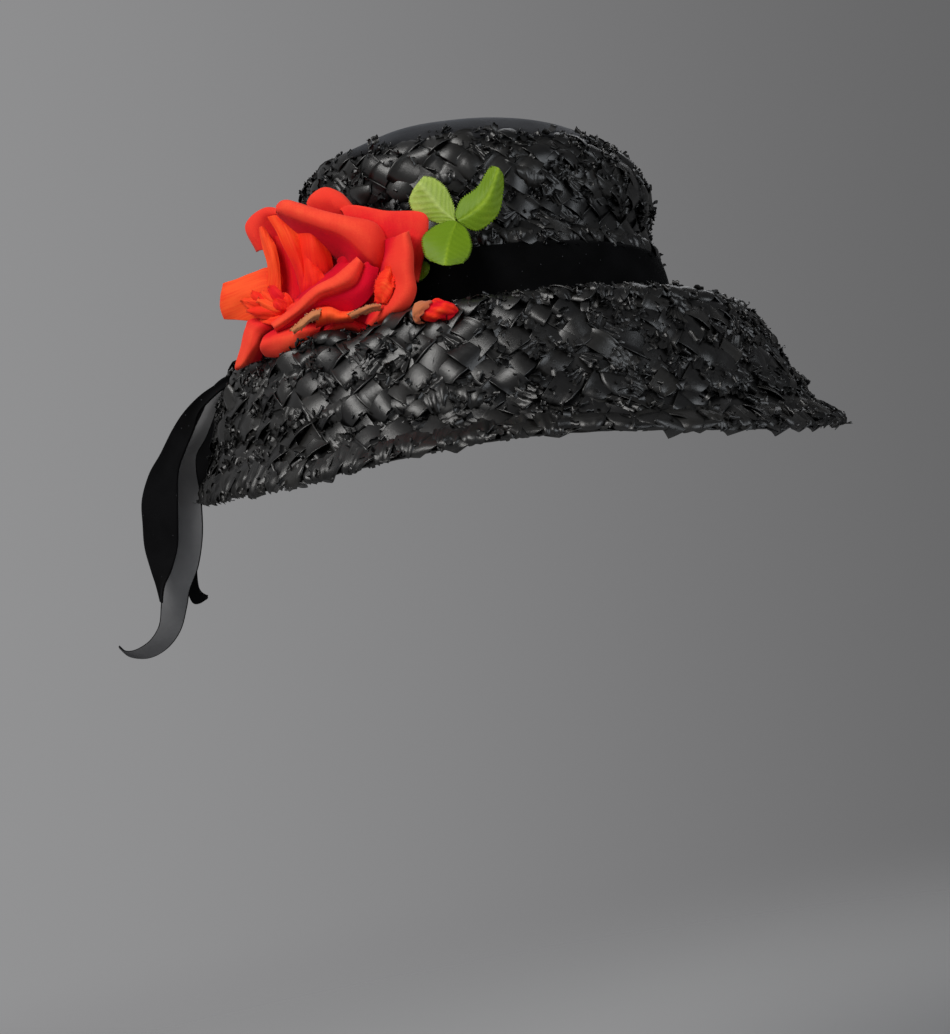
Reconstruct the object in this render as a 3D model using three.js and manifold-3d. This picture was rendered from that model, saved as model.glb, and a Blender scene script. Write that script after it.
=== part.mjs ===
// A wide brim hat of woven straw braid, trimmed with velvet ribbon, a cloth rose, leaves and a bud.
// Millimetres. +Z is up, -Y is the front, +X is the wearer's left.
// The origin is the middle of the head opening, at the foot of the crown.
import * as THREE from "three";
import { mergeVertices } from "three/addons/utils/BufferGeometryUtils.js";
import Module from "manifold-3d";

const wasm = await Module();
wasm.setup();

// Head opening and crown
const HEAD_WIDTH = 168;
const HEAD_LENGTH = 194;
const CROWN_HEIGHT = 104;
const CROWN_LEAN_DEGREES = 8.3;
const CROWN_SHIFT = 10;
const STRAW = 2.2;
const ROW_LIP = 1.8;
const TIP_CLOTH = 1.6;

// Brim, measured from the foot of the band to the rim
const BRIM_REACH = 72;
const BRIM_DROP = 80;

// Velvet trimming
const VELVET = 1.2;
const STRAP_WIDTH = 38;
const STRAP_MIDDLE_Y = 10;
const TAIL_WIDTH = 25;
const TAIL_SPREAD = 80;
const TAIL_DROP = 126;

// Rose, leaves and bud
const ROSE_RADIUS = 47;
const PETAL_CLOTH = 1.3;
const HEART_RADIUS = 12;
const HEART_LENGTH = 30;
const LEAF_LENGTH = 46;
const LEAF_WIDTH = 22;
const LEAF_CLOTH = 1.1;
const STEM_RADIUS = 1.6;
const BUD_LENGTH = 23;
const BUD_RADIUS = 6;

// Clearance between any two pieces that touch
const GAP = 0.3;

// How finely the round pieces are faceted
const ROUND_STEPS = 56;
const ROW_STEPS = 3;

const BASE_HALF_WIDTH = HEAD_WIDTH / 2 + STRAW;
const BASE_HALF_LENGTH = HEAD_LENGTH / 2 + STRAW;
const BAND_OUT = GAP + VELVET;

// Levels of the crown from its foot to its top.
// height is a share of the crown's height; width and length are shares of the foot's;
// shift is a share of the top's sideways shift; lean is a share of the top's lean.
const CROWN_LEVELS = [
  { height: 0.0, width: 1.0, length: 1.0, shift: 0.0, lean: 0.0 },
  { height: 0.245, width: 0.972, length: 0.975, shift: 0.0, lean: 0.35 },
  { height: 0.37, width: 0.942, length: 0.945, shift: 0.0, lean: 0.6 },
  { height: 0.468, width: 0.95, length: 0.945, shift: 0.0, lean: 0.8 },
  { height: 0.58, width: 0.975, length: 0.955, shift: 0.0, lean: 1.0 },
  { height: 0.683, width: 0.985, length: 0.95, shift: 0.0, lean: 1.0 },
  { height: 0.767, width: 0.93, length: 0.9, shift: 0.1, lean: 1.0 },
  { height: 0.842, width: 0.82, length: 0.8, shift: 0.4, lean: 1.0 },
  { height: 0.921, width: 0.64, length: 0.64, shift: 0.7, lean: 1.0 },
  { height: 0.977, width: 0.38, length: 0.4, shift: 1.0, lean: 1.0 },
  { height: 1.0, width: 0.0, length: 0.0, shift: 1.0, lean: 1.0 },
];
const TOP_LEVEL = CROWN_LEVELS.length - 1;

// Two rows of braid on the crown, in levels: each row's lower edge stands proud of the row below.
const LOWER_ROW_FROM = 1;
const UPPER_ROW_FROM = 3.5;

// The upper row ends round the tip, lower at the wearer's right front than at the left back.
const TIP_EDGE_LEVEL = 6.8;
const TIP_EDGE_SLANT = 0.75;
const TIP_EDGE_TURN = 0.9;
const TIP_TUCK = 0.45;
const TIP_MIDDLE = 0.15;

// Brim sections at eight equal turns, from the front towards +X.
// out columns are shares of the brim's reach, down columns of its drop, at the end of each row.
const BRIM_SECTIONS = [
  { out1: 0.39, down1: 0.065, out2: 0.66, down2: 0.63, out3: 0.91, down3: 0.826 },
  { out1: 0.47, down1: 0.13, out2: 0.75, down2: 0.695, out3: 0.99, down3: 0.967 },
  { out1: 0.51, down1: 0.195, out2: 0.71, down2: 0.61, out3: 0.92, down3: 0.842 },
  { out1: 0.43, down1: 0.13, out2: 0.63, down2: 0.391, out3: 0.83, down3: 0.587 },
  { out1: 0.27, down1: 0.01, out2: 0.41, down2: 0.184, out3: 0.56, down3: 0.337 },
  { out1: 0.44, down1: -0.011, out2: 0.61, down2: 0.25, out3: 0.78, down3: 0.435 },
  { out1: 0.6, down1: -0.066, out2: 0.8, down2: 0.348, out3: 0.93, down3: 0.658 },
  { out1: 0.49, down1: 0.01, out2: 0.72, down2: 0.489, out3: 0.93, down3: 0.826 },
];
const BRIM_ROW_COUNT = 3;

// Reads a table between its rows with a smooth curve. place runs over the whole table from 0 to 1.
function readTable(table, place, closed) {
  const count = table.length;
  const spans = closed ? count : count - 1;
  const first = Math.min(Math.max(Math.floor(place * spans), 0), spans - 1);
  const part = place * spans - first;
  const rowAt = (index) =>
    closed ? table[(index + count) % count] : table[Math.min(Math.max(index, 0), count - 1)];
  const values = {};
  for (const column of Object.keys(table[0])) {
    const [a, b, c, d] = [-1, 0, 1, 2].map((step) => rowAt(first + step)[column]);
    values[column] = catmullRom(a, b, c, d, part);
  }
  return values;
}

function catmullRom(a, b, c, d, part) {
  const linear = (c - a) * part;
  const square = (2 * a - 5 * b + 4 * c - d) * part ** 2;
  const cube = (3 * b - a - 3 * c + d) * part ** 3;
  return b + 0.5 * (linear + square + cube);
}

// A point on the crown's plain outer surface. turn is an angle from the front towards +X.
function crownPoint(turn, level) {
  const row = readTable(CROWN_LEVELS, level / TOP_LEVEL, false);
  const x = CROWN_SHIFT * row.shift + BASE_HALF_WIDTH * row.width * Math.sin(turn);
  const y = -BASE_HALF_LENGTH * row.length * Math.cos(turn);
  const slope = Math.tan(THREE.MathUtils.degToRad(CROWN_LEAN_DEGREES)) * row.lean;
  return new THREE.Vector3(x, y, CROWN_HEIGHT * row.height - slope * x);
}

// A point on the brim's plain upper surface. level 0 to 1 is the flange under the crown's foot,
// and each row of braid is one more level.
function brimPoint(turn, level) {
  const row = readTable(BRIM_SECTIONS, ((turn / (2 * Math.PI)) % 1 + 1) % 1, true);
  const section = [{ out: 0, down: 0 }];
  for (let k = 1; k <= BRIM_ROW_COUNT; k += 1) {
    section.push({ out: BRIM_REACH * row["out" + k], down: BRIM_DROP * row["down" + k] });
  }
  const flange = BAND_OUT + STRAW;
  const spot =
    level < 1
      ? { out: flange * (level - 1), down: 0 }
      : readTable(section, (level - 1) / BRIM_ROW_COUNT, false);
  const x = (BASE_HALF_WIDTH + BAND_OUT + spot.out) * Math.sin(turn);
  const y = -(BASE_HALF_LENGTH + BAND_OUT + spot.out) * Math.cos(turn);
  return new THREE.Vector3(x, y, -GAP - spot.down);
}

// Moves a surface point along the surface's outward normal.
function lifted(surface, turn, level, lift) {
  const step = 1e-3;
  const along = surface(turn, level + step).sub(surface(turn, level - step));
  const around = surface(turn + step, level).sub(surface(turn - step, level));
  const normal = around.cross(along).normalize();
  return surface(turn, level).addScaledVector(normal, lift);
}

function crownAt(turn, level, lift) {
  const point = lifted(crownPoint, turn, level, lift);
  return level === 0 ? point.setZ(0) : point;
}

const brimAt = (turn, level, lift) => lifted(brimPoint, turn, level, -lift);

// Level at which the braid ends and the cloth tip shows.
const tipEdge = (turn) => TIP_EDGE_LEVEL - TIP_EDGE_SLANT * Math.cos(turn + TIP_EDGE_TURN);

// Ring of points on the crown. A spot with climb lies that share of the way up the upper row.
function crownRing(spot) {
  return turns.map((turn) => {
    const climb = spot.climb === undefined ? 0 : spot.climb * (tipEdge(turn) - UPPER_ROW_FROM);
    return crownAt(turn, spot.level + climb, spot.lift);
  });
}

// Outer profile of the two rows, with a lip at each row's lower edge.
function crownProfile() {
  const profile = [];
  const lowerSteps = 2;
  for (let k = 0; k <= lowerSteps; k += 1) {
    const share = k / lowerSteps;
    const level = LOWER_ROW_FROM + (UPPER_ROW_FROM - LOWER_ROW_FROM) * share;
    profile.push({ level, lift: ROW_LIP * (1 - share), lip: k === 0 });
  }
  const upperSteps = 4;
  for (let k = 0; k <= upperSteps; k += 1) {
    const climb = k / upperSteps;
    profile.push({ level: UPPER_ROW_FROM, climb, lift: ROW_LIP * (1 - climb), lip: k === 0 });
  }
  return profile;
}

// Upper profile of the brim, in which each row's outer edge stands proud of the next row.
function brimProfile() {
  const profile = [{ level: 0, lift: 0 }];
  for (let row = 1; row <= BRIM_ROW_COUNT; row += 1) {
    for (let k = 0; k <= ROW_STEPS; k += 1) {
      profile.push({ level: row + k / ROW_STEPS, lift: (ROW_LIP * k) / ROW_STEPS });
    }
  }
  return profile;
}

// Closed body from rings of equal length. Without poles the last ring joins the first.
function loft(rings, poles) {
  const size = rings[0].length;
  const points = rings.flat();
  const faces = [];
  const quad = (lower, upper, a, b) => {
    faces.push(lower * size + a, lower * size + b, upper * size + b);
    faces.push(lower * size + a, upper * size + b, upper * size + a);
  };
  const last = poles ? rings.length - 1 : rings.length;
  for (let ring = 0; ring < last; ring += 1) {
    for (let k = 0; k < size; k += 1) quad(ring, (ring + 1) % rings.length, k, (k + 1) % size);
  }
  if (poles) {
    const [start, end] = [points.length, points.length + 1];
    points.push(poles.start, poles.end);
    for (let k = 0; k < size; k += 1) {
      const next = (k + 1) % size;
      faces.push(start, next, k);
      faces.push(end, (rings.length - 1) * size + k, (rings.length - 1) * size + next);
    }
  }
  return solid(points, faces);
}

function solid(points, faces) {
  const make = (order) =>
    new wasm.Manifold(
      new wasm.Mesh({
        numProp: 3,
        vertProperties: new Float32Array(points.flatMap((p) => [p.x, p.y, p.z])),
        triVerts: new Uint32Array(order),
      }),
    );
  const made = make(faces);
  return made.volume() > 0 ? made : make([...faces].reverse());
}

function solidOfGeometry(geometry) {
  geometry.deleteAttribute("normal");
  geometry.deleteAttribute("uv");
  const merged = mergeVertices(geometry, 1e-4);
  const place = merged.attributes.position;
  const points = Array.from({ length: place.count }, (_, k) => new THREE.Vector3().fromBufferAttribute(place, k));
  return solid(points, Array.from(merged.index.array));
}

// The largest body that is left after a cut.
function largest(made) {
  const bodies = made.decompose();
  return bodies.reduce((best, body) => (body.volume() > best.volume() ? body : best));
}

const turns = Array.from({ length: ROUND_STEPS }, (_, k) => (2 * Math.PI * k) / ROUND_STEPS);

// Crown wall: open at the head and round the tip.
function crownStraw() {
  const section = [{ level: 0, lift: 0 }, { level: LOWER_ROW_FROM, lift: 0 }, ...crownProfile()];
  section.push({ level: UPPER_ROW_FROM, climb: 1, lift: -STRAW });
  section.push({ level: UPPER_ROW_FROM - TIP_TUCK, climb: 1, lift: -STRAW });
  section.push({ level: UPPER_ROW_FROM, climb: 0.5, lift: -STRAW });
  for (let level = Math.floor(UPPER_ROW_FROM); level >= 0; level -= 1) section.push({ level, lift: -STRAW });
  return loft(section.map(crownRing));
}

// The crown and its band as one filled space, with the clearance that other pieces keep to them.
function crownSpace() {
  const gapLevels = GAP / (CROWN_HEIGHT * CROWN_LEVELS[1].height);
  const rows = crownProfile().map((spot) => ({
    ...spot,
    level: spot.lip ? spot.level - gapLevels : spot.level,
    lift: spot.lift + GAP,
  }));
  const foot = { level: 0, lift: BAND_OUT + GAP };
  const shoulder = { level: LOWER_ROW_FROM - 2 * gapLevels, lift: BAND_OUT + GAP };
  const rings = [foot, shoulder, ...rows].map(crownRing);
  const below = rings[0].map((point) => new THREE.Vector3(point.x, point.y, -GAP));
  const poles = {
    start: new THREE.Vector3(0, 0, -GAP),
    end: new THREE.Vector3(CROWN_SHIFT, 0, CROWN_HEIGHT),
  };
  return loft([below, ...rings], poles);
}

// Smooth cloth oval whose edge is tucked under the crown's top row.
function crownTip() {
  const outer = -STRAW - 2 * GAP;
  const steps = 3;
  const ringAt = (share, lift) =>
    turns.map((turn) => {
      const edge = tipEdge(turn) - TIP_TUCK;
      return crownAt(turn, edge + (TOP_LEVEL - TIP_MIDDLE - edge) * share, lift);
    });
  const shares = Array.from({ length: steps + 1 }, (_, k) => k / steps);
  const rings = shares.map((share) => ringAt(share, outer));
  const under = shares.map((share) => ringAt(share, outer - TIP_CLOTH));
  const middle = (ring) =>
    ring.reduce((sum, point) => sum.add(point), new THREE.Vector3()).divideScalar(ring.length);
  const all = [...under.reverse(), ...rings];
  return loft(all, { start: middle(all[0]), end: middle(all[all.length - 1]) });
}

// Velvet ribbon round the foot of the crown, up to the lowest visible row of straw.
function hatBand() {
  const top = 1 - GAP / (CROWN_HEIGHT * CROWN_LEVELS[1].height);
  const heights = [0, top / 2, top];
  const spots = heights.map((level) => ({ level, lift: BAND_OUT }));
  heights.reverse().forEach((level) => spots.push({ level, lift: GAP }));
  return loft(spots.map(crownRing));
}

// Brim of three rows. growth widens it on every side, for the space that it needs.
function brimStraw(growth) {
  const rim = BRIM_ROW_COUNT + 1;
  const growthLevels = (growth * BRIM_ROW_COUNT) / BRIM_REACH;
  const upper = brimProfile().map((spot) => ({
    level: spot.lift === ROW_LIP ? spot.level + growthLevels : spot.level,
    lift: spot.lift + growth,
  }));
  const lower = [];
  for (let level = rim; level > 0; level -= 0.5) lower.push({ level, lift: -STRAW - growth });
  lower.push({ level: 0, lift: -STRAW - growth });
  const beyond = growth > 0 ? [{ level: rim + growthLevels, lift: -STRAW }] : [];
  const section = [...upper, ...beyond, ...lower];
  return loft(section.map((spot) => turns.map((turn) => brimAt(turn, spot.level, spot.lift))));
}

// The strap runs from near the band to beyond the rim and folds back under it, in brim levels.
const STRAP_START_LEVEL = 1.04;
const STRAP_FOLD_LEVELS = 0.4;
const STRAP_WRAP_LEVELS = 0.045;
const STRAP_REACH_PER_LEVEL = 0.3 * BRIM_REACH;

// Velvet strap over the brim at the wearer's right, folded round the rim.
function brimStrap(growth) {
  const rim = BRIM_ROW_COUNT + 1;
  const start = STRAP_START_LEVEL;
  const fold = STRAP_FOLD_LEVELS;
  const beyond = rim + STRAP_WRAP_LEVELS;
  const steps = ROW_STEPS * BRIM_ROW_COUNT;
  const across = 4;
  const near = ROW_LIP + GAP;
  const loop = [];
  const addSide = (thick) => {
    const side = [];
    for (let k = 0; k <= steps; k += 1) {
      side.push({ level: start + ((rim - start) * k) / steps, lift: near + thick });
    }
    const turnLevel = beyond + (thick * BRIM_ROW_COUNT) / BRIM_REACH;
    side.push({ level: turnLevel, lift: (near + thick) / 2 });
    side.push({ level: turnLevel, lift: -STRAW - thick / 2 });
    side.push({ level: rim, lift: -STRAW - GAP - thick });
    side.push({ level: rim - fold, lift: -STRAW - GAP - thick });
    return side;
  };
  loop.push(...addSide(VELVET + growth), ...addSide(-growth).reverse());
  const rings = [];
  for (let k = 0; k <= across; k += 1) {
    const y = STRAP_MIDDLE_Y + (STRAP_WIDTH / 2 + growth) * ((2 * k) / across - 1);
    rings.push(
      loop.map((spot) => {
        const reach = Math.abs(brimPoint(0, 1).y) + STRAP_REACH_PER_LEVEL * (spot.level - 1);
        const turn = 1.5 * Math.PI - Math.asin(y / reach);
        return brimAt(turn, spot.level, spot.lift);
      }),
    );
  }
  return capped(rings);
}

// Closed body from open-ended sections: each end is closed by strips across the section.
function capped(sections) {
  const size = sections[0].length;
  const points = sections.flat();
  const faces = [];
  for (let row = 0; row + 1 < sections.length; row += 1) {
    for (let k = 0; k < size; k += 1) {
      const next = (k + 1) % size;
      faces.push(row * size + k, row * size + next, (row + 1) * size + next);
      faces.push(row * size + k, (row + 1) * size + next, (row + 1) * size + k);
    }
  }
  const end = (sections.length - 1) * size;
  for (let k = 0; k < size / 2 - 1; k += 1) {
    const [a, b, c, d] = [k, k + 1, size - 2 - k, size - 1 - k];
    faces.push(a, c, b, a, d, c);
    faces.push(end + a, end + b, end + c, end + a, end + c, end + d);
  }
  return solid(points, faces);
}

// Closed body from a grid of points, thickened to both sides of the sheet.
function sheet(grid, thickness) {
  const rows = grid.length;
  const columns = grid[0].length;
  const at = (i, j) => grid[Math.min(Math.max(i, 0), rows - 1)][Math.min(Math.max(j, 0), columns - 1)];
  const sections = grid.map((row, i) => {
    const normals = row.map((_, j) => {
      const along = at(i + 1, j).clone().sub(at(i - 1, j));
      const across = at(i, j + 1).clone().sub(at(i, j - 1));
      return along.cross(across).normalize();
    });
    const over = row.map((p, j) => p.clone().addScaledVector(normals[j], thickness / 2));
    const under = row.map((p, j) => p.clone().addScaledVector(normals[j], -thickness / 2));
    return [...over, ...under.reverse()];
  });
  return capped(sections);
}

// Ribbon tails. out, front and down are shares of the tails' spread and drop from the brim's shoulder;
// width is a share of the ribbon's width; face is the way the ribbon looks, in degrees from the front.
const TAILS = {
  ribbon_tail_left: [
    { out: -0.02, front: 0.5, down: 0.07, width: 0.5, face: 0, curl: 0.0 },
    { out: 0.1, front: 0.52, down: 0.09, width: 0.6, face: -10, curl: 0.1 },
    { out: 0.21, front: 0.52, down: 0.15, width: 0.7, face: -20, curl: 0.2 },
    { out: 0.29, front: 0.51, down: 0.222, width: 0.8, face: -25, curl: 0.3 },
    { out: 0.39, front: 0.5, down: 0.34, width: 0.8, face: -30, curl: 0.3 },
    { out: 0.46, front: 0.5, down: 0.447, width: 0.85, face: -30, curl: 0.3 },
    { out: 0.51, front: 0.49, down: 0.556, width: 0.85, face: -30, curl: 0.3 },
    { out: 0.54, front: 0.48, down: 0.67, width: 0.85, face: -30, curl: 0.3 },
    { out: 0.565, front: 0.46, down: 0.772, width: 0.6, face: -30, curl: 0.2 },
    { out: 0.6, front: 0.45, down: 0.875, width: 0.1, face: -30, curl: 0.0 },
  ],
  ribbon_tail_middle: [
    { out: 0.0, front: 0.34, down: 0.04, width: 0.4, face: 20, curl: 0.0 },
    { out: 0.12, front: 0.34, down: 0.1, width: 0.35, face: 30, curl: 0.0 },
    { out: 0.22, front: 0.34, down: 0.19, width: 0.4, face: 40, curl: 0.0 },
    { out: 0.3, front: 0.34, down: 0.29, width: 0.5, face: 35, curl: 0.0 },
    { out: 0.35, front: 0.35, down: 0.47, width: 0.6, face: 30, curl: 0.1 },
    { out: 0.4, front: 0.35, down: 0.63, width: 0.65, face: 25, curl: 0.1 },
    { out: 0.5, front: 0.34, down: 0.84, width: 0.6, face: 20, curl: 0.1 },
    { out: 0.62, front: 0.34, down: 0.97, width: 0.55, face: 10, curl: 0.2 },
    { out: 0.78, front: 0.33, down: 1.04, width: 0.45, face: 0, curl: 0.2 },
    { out: 0.91, front: 0.33, down: 1.02, width: 0.1, face: 0, curl: 0.0 },
  ],
  ribbon_tail_back: [
    { out: 0.0, front: 0.2, down: 0.03, width: 0.5, face: -10, curl: 0.0 },
    { out: 0.14, front: 0.2, down: 0.08, width: 0.6, face: -10, curl: 0.0 },
    { out: 0.27, front: 0.2, down: 0.22, width: 0.6, face: -10, curl: 0.1 },
    { out: 0.35, front: 0.2, down: 0.42, width: 0.55, face: -5, curl: 0.1 },
    { out: 0.4, front: 0.21, down: 0.6, width: 0.55, face: 0, curl: 0.1 },
    { out: 0.4, front: 0.21, down: 0.75, width: 0.4, face: 0, curl: 0.0 },
    { out: 0.39, front: 0.21, down: 0.86, width: 0.1, face: 0, curl: 0.0 },
  ],
};
const TAIL_STEPS = 14;

function ribbonTail(name, growth) {
  const shoulder = brimPoint(1.5 * Math.PI, 2);
  const table = TAILS[name];
  const columns = [-1, 0, 1];
  const grid = [];
  for (let k = 0; k <= TAIL_STEPS; k += 1) {
    const row = readTable(table, k / TAIL_STEPS, false);
    const middle = new THREE.Vector3(
      shoulder.x - TAIL_SPREAD * row.out,
      -TAIL_SPREAD * row.front,
      shoulder.z + ROW_LIP + VELVET - TAIL_DROP * row.down,
    );
    const face = THREE.MathUtils.degToRad(row.face);
    const side = new THREE.Vector3(Math.cos(face), Math.sin(face), 0);
    const outward = new THREE.Vector3(side.y, -side.x, 0);
    const half = (TAIL_WIDTH * row.width) / 2 + growth;
    grid.push(
      columns.map((v) =>
        middle
          .clone()
          .addScaledVector(side, half * v)
          .addScaledVector(outward, half * row.curl * v * v),
      ),
    );
  }
  return sheet(grid, VELVET + 2 * growth);
}

// Rose: a hub with two rounds of cupped petals whose edges roll back.
// turn is the petal's place round the rose in degrees, anticlockwise from its right;
// reach and width are shares of the rose's radius; raise tips the petal forward, as a share of it.
const PETALS = [
  { turn: 20, reach: 1.25, width: 1.1, raise: 0.0 },
  { turn: 74, reach: 0.84, width: 0.95, raise: 0.03 },
  { turn: 130, reach: 1.0, width: 1.0, raise: 0.0 },
  { turn: 190, reach: 1.3, width: 1.0, raise: 0.05 },
  { turn: 238, reach: 1.12, width: 1.1, raise: 0.0 },
  { turn: 292, reach: 0.95, width: 1.05, raise: 0.05 },
  { turn: 345, reach: 0.98, width: 1.0, raise: 0.1 },
  { turn: 48, reach: 0.72, width: 0.85, raise: 0.32 },
  { turn: 118, reach: 0.68, width: 0.85, raise: 0.38 },
  { turn: 190, reach: 0.7, width: 0.85, raise: 0.35 },
  { turn: 262, reach: 0.7, width: 0.85, raise: 0.42 },
  { turn: 330, reach: 0.7, width: 0.85, raise: 0.38 },
];

// One petal from root to edge: out is a share of its reach, lift of the rose's radius,
// and width a share of its widest part.
const PETAL_PROFILE = [
  { out: 0.1, lift: -0.24, width: 0.3 },
  { out: 0.4, lift: -0.18, width: 0.75 },
  { out: 0.7, lift: -0.04, width: 1.0 },
  { out: 0.92, lift: 0.05, width: 0.95 },
  { out: 1.0, lift: 0.03, width: 0.75 },
  { out: 1.0, lift: -0.06, width: 0.6 },
];

const PETAL_CUP = 0.16;
const PETAL_ROUNDING = 0.16;

const ROSE_FACING = new THREE.Vector3(-0.5, -0.85, 0.08).normalize();
const ROSE_TURN = 1.757 * Math.PI;
const ROSE_OUT = 0.42;
const ROSE_LEVEL = 0.75;

// Hub's radius, flatness and distance behind the rose's middle; sizes are shares of the rose's radius.
const HUB_SIZE = 0.3;
const HUB_FLATNESS = 0.8;
const HUB_BACK = 0.22;

// Places the rose's own frame: x to its right, y up, z the way it faces.
function roseFrame() {
  const up = new THREE.Vector3(0, 0, 1);
  const right = new THREE.Vector3().crossVectors(up, ROSE_FACING).normalize();
  const over = new THREE.Vector3().crossVectors(ROSE_FACING, right);
  const seat = crownPoint(ROSE_TURN, ROSE_LEVEL);
  const centre = seat.addScaledVector(ROSE_FACING, ROSE_RADIUS * ROSE_OUT);
  return new THREE.Matrix4().makeBasis(right, over, ROSE_FACING).setPosition(centre);
}

function rosePetal(row, frame) {
  const steps = 5;
  const across = [-1, -0.4, 0.4, 1];
  const turn = THREE.MathUtils.degToRad(row.turn);
  const outward = new THREE.Vector3(Math.cos(turn), Math.sin(turn), 0);
  const sideways = new THREE.Vector3(-Math.sin(turn), Math.cos(turn), 0);
  const grid = [];
  for (let k = 0; k <= steps; k += 1) {
    const spot = readTable(PETAL_PROFILE, k / steps, false);
    grid.push(
      across.map((v) => {
        const tip = spot.out * row.reach * (1 - PETAL_ROUNDING * v * v * spot.out);
        const lift = spot.lift + row.raise * spot.out + PETAL_CUP * v * v * spot.width;
        return outward
          .clone()
          .multiplyScalar(ROSE_RADIUS * tip)
          .addScaledVector(sideways, (ROSE_RADIUS * row.width * spot.width * v) / 2)
          .setZ(ROSE_RADIUS * lift)
          .applyMatrix4(frame);
      }),
    );
  }
  return sheet(grid, PETAL_CLOTH);
}

// Heart of the rose: a closed bud with three turns of rolled petal edge.
function roseHeart(growth, frame) {
  const profile = [
    { radius: 0.0, height: -0.3 },
    { radius: 0.55, height: -0.28 },
    { radius: 0.8, height: 0.0 },
    { radius: 1.0, height: 0.4 },
    { radius: 0.92, height: 0.65 },
    { radius: 0.72, height: 0.66 },
    { radius: 0.66, height: 0.58 },
    { radius: 0.5, height: 0.7 },
    { radius: 0.34, height: 0.62 },
    { radius: 0.2, height: 0.7 },
    { radius: 0.0, height: 0.66 },
  ];
  const points = profile.map((spot) => {
    const radius = spot.radius > 0 ? HEART_RADIUS * spot.radius + growth : 0;
    return new THREE.Vector2(radius, HEART_LENGTH * spot.height + growth * Math.sign(spot.height));
  });
  const geometry = new THREE.LatheGeometry(points, 20);
  geometry.rotateX(Math.PI / 2).applyMatrix4(frame);
  return solidOfGeometry(geometry);
}

// Petals on a flattened round hub behind the heart.
function rosePetals(frame) {
  const hub = new THREE.SphereGeometry(ROSE_RADIUS * HUB_SIZE, 16, 8);
  hub.scale(1, 1, HUB_FLATNESS).translate(0, 0, -ROSE_RADIUS * HUB_BACK).applyMatrix4(frame);
  let made = solidOfGeometry(hub);
  for (const row of PETALS) made = made.add(rosePetal(row, frame));
  return made.subtract(roseHeart(GAP, frame));
}

// Leaflets. x and y are shares of the leaf length from the joint, to the right and up;
// front is how far the tip stands forward; width is a share of the leaf width.
const LEAFLETS = [
  { x: -0.34, y: 0.52, front: 0.1, width: 1.0 },
  { x: 0.5, y: 0.44, front: 0.05, width: 0.85 },
  { x: -0.24, y: -0.46, front: 0.3, width: 1.05 },
];
const LEAF_JOINT = { turn: -0.09, level: 1.75 };
const STEM_BEND = { turn: -0.26, level: 1.3 };
const STEM_ROOT = { turn: -0.43, level: 0.8 };
const SIDE_LEAF_JOINT = { turn: -0.42, level: 0.75 };
const SIDE_LEAFLET = { x: 0.26, y: -0.24, front: 0.1, width: 0.55 };
const SERRATION = 0.09;
const LEAF_FOLD = 0.08;
const LEAF_NARROWEST = 0.8;

function leaflet(row, joint, growth) {
  const teeth = 5;
  const tip = new THREE.Vector3(row.x, -row.front, row.y).multiplyScalar(LEAF_LENGTH);
  const side = new THREE.Vector3(tip.z, 0, -tip.x).normalize();
  const grid = [];
  for (let k = 0; k <= teeth * 2; k += 1) {
    const share = k / (teeth * 2);
    const belly = Math.sin(Math.PI * share ** 0.8);
    const tooth = 1 + SERRATION * (k % 2 ? 1 : -1);
    const half = Math.max((LEAF_WIDTH * row.width * belly * tooth) / 2, LEAF_NARROWEST) + growth;
    const middle = joint.clone().addScaledVector(tip, share);
    grid.push(
      [-1, 0, 1].map((v) =>
        middle
          .clone()
          .addScaledVector(side, half * v)
          .setY(middle.y - LEAF_WIDTH * LEAF_FOLD * Math.abs(v) * belly),
      ),
    );
  }
  return sheet(grid, LEAF_CLOTH + 2 * growth);
}

function leafSpray(growth) {
  const standOff = ROW_LIP + STEM_RADIUS + LEAF_CLOTH;
  const joint = crownAt(LEAF_JOINT.turn, LEAF_JOINT.level, standOff);
  const bend = crownAt(STEM_BEND.turn, STEM_BEND.level, standOff);
  const root = crownAt(STEM_ROOT.turn, STEM_ROOT.level, BAND_OUT + STEM_RADIUS);
  const path = new THREE.CatmullRomCurve3([root, bend, joint]);
  const ring = new THREE.Shape().absarc(0, 0, STEM_RADIUS + growth, 0, 2 * Math.PI);
  const stem = new THREE.ExtrudeGeometry(ring, { steps: 5, curveSegments: 4, extrudePath: path });
  let made = solidOfGeometry(stem);
  for (const row of LEAFLETS) made = made.add(leaflet(row, joint, growth));
  return made;
}

// Small leaf that lies between the rose and the band.
function sideLeaf(growth) {
  const standOff = BAND_OUT + GAP + 2 * LEAF_CLOTH;
  const joint = crownAt(SIDE_LEAF_JOINT.turn, SIDE_LEAF_JOINT.level, standOff);
  return leaflet(SIDE_LEAFLET, joint, growth);
}

// The bud's seat on the brim, where lift is a share of its radius, and its tilt in radians.
const BUD_SEAT = { turn: -0.225, level: 1.98, lift: 0.75 };
const BUD_TILT = 0.15;

// Bud on the brim beside the rose: a small tapering body with a rounded end.
function rosebud(growth) {
  const profile = [
    { radius: 0.0, along: 0.0 },
    { radius: 0.45, along: 0.02 },
    { radius: 0.85, along: 0.3 },
    { radius: 1.0, along: 0.55 },
    { radius: 0.85, along: 0.8 },
    { radius: 0.5, along: 0.97 },
    { radius: 0.0, along: 1.0 },
  ];
  const points = profile.map((spot) => {
    const radius = spot.radius > 0 ? BUD_RADIUS * spot.radius + growth : 0;
    return new THREE.Vector2(radius, BUD_LENGTH * (spot.along - 0.5) * (1 + growth / BUD_LENGTH));
  });
  const geometry = new THREE.LatheGeometry(points, 12);
  geometry.rotateZ(BUD_TILT - Math.PI / 2);
  const seat = brimAt(BUD_SEAT.turn, BUD_SEAT.level, BUD_RADIUS * BUD_SEAT.lift);
  geometry.translate(seat.x, seat.y, seat.z);
  return solidOfGeometry(geometry);
}

function material(colour, roughness, metalness = 0) {
  return new THREE.MeshStandardMaterial({ color: colour, roughness, metalness });
}

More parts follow.
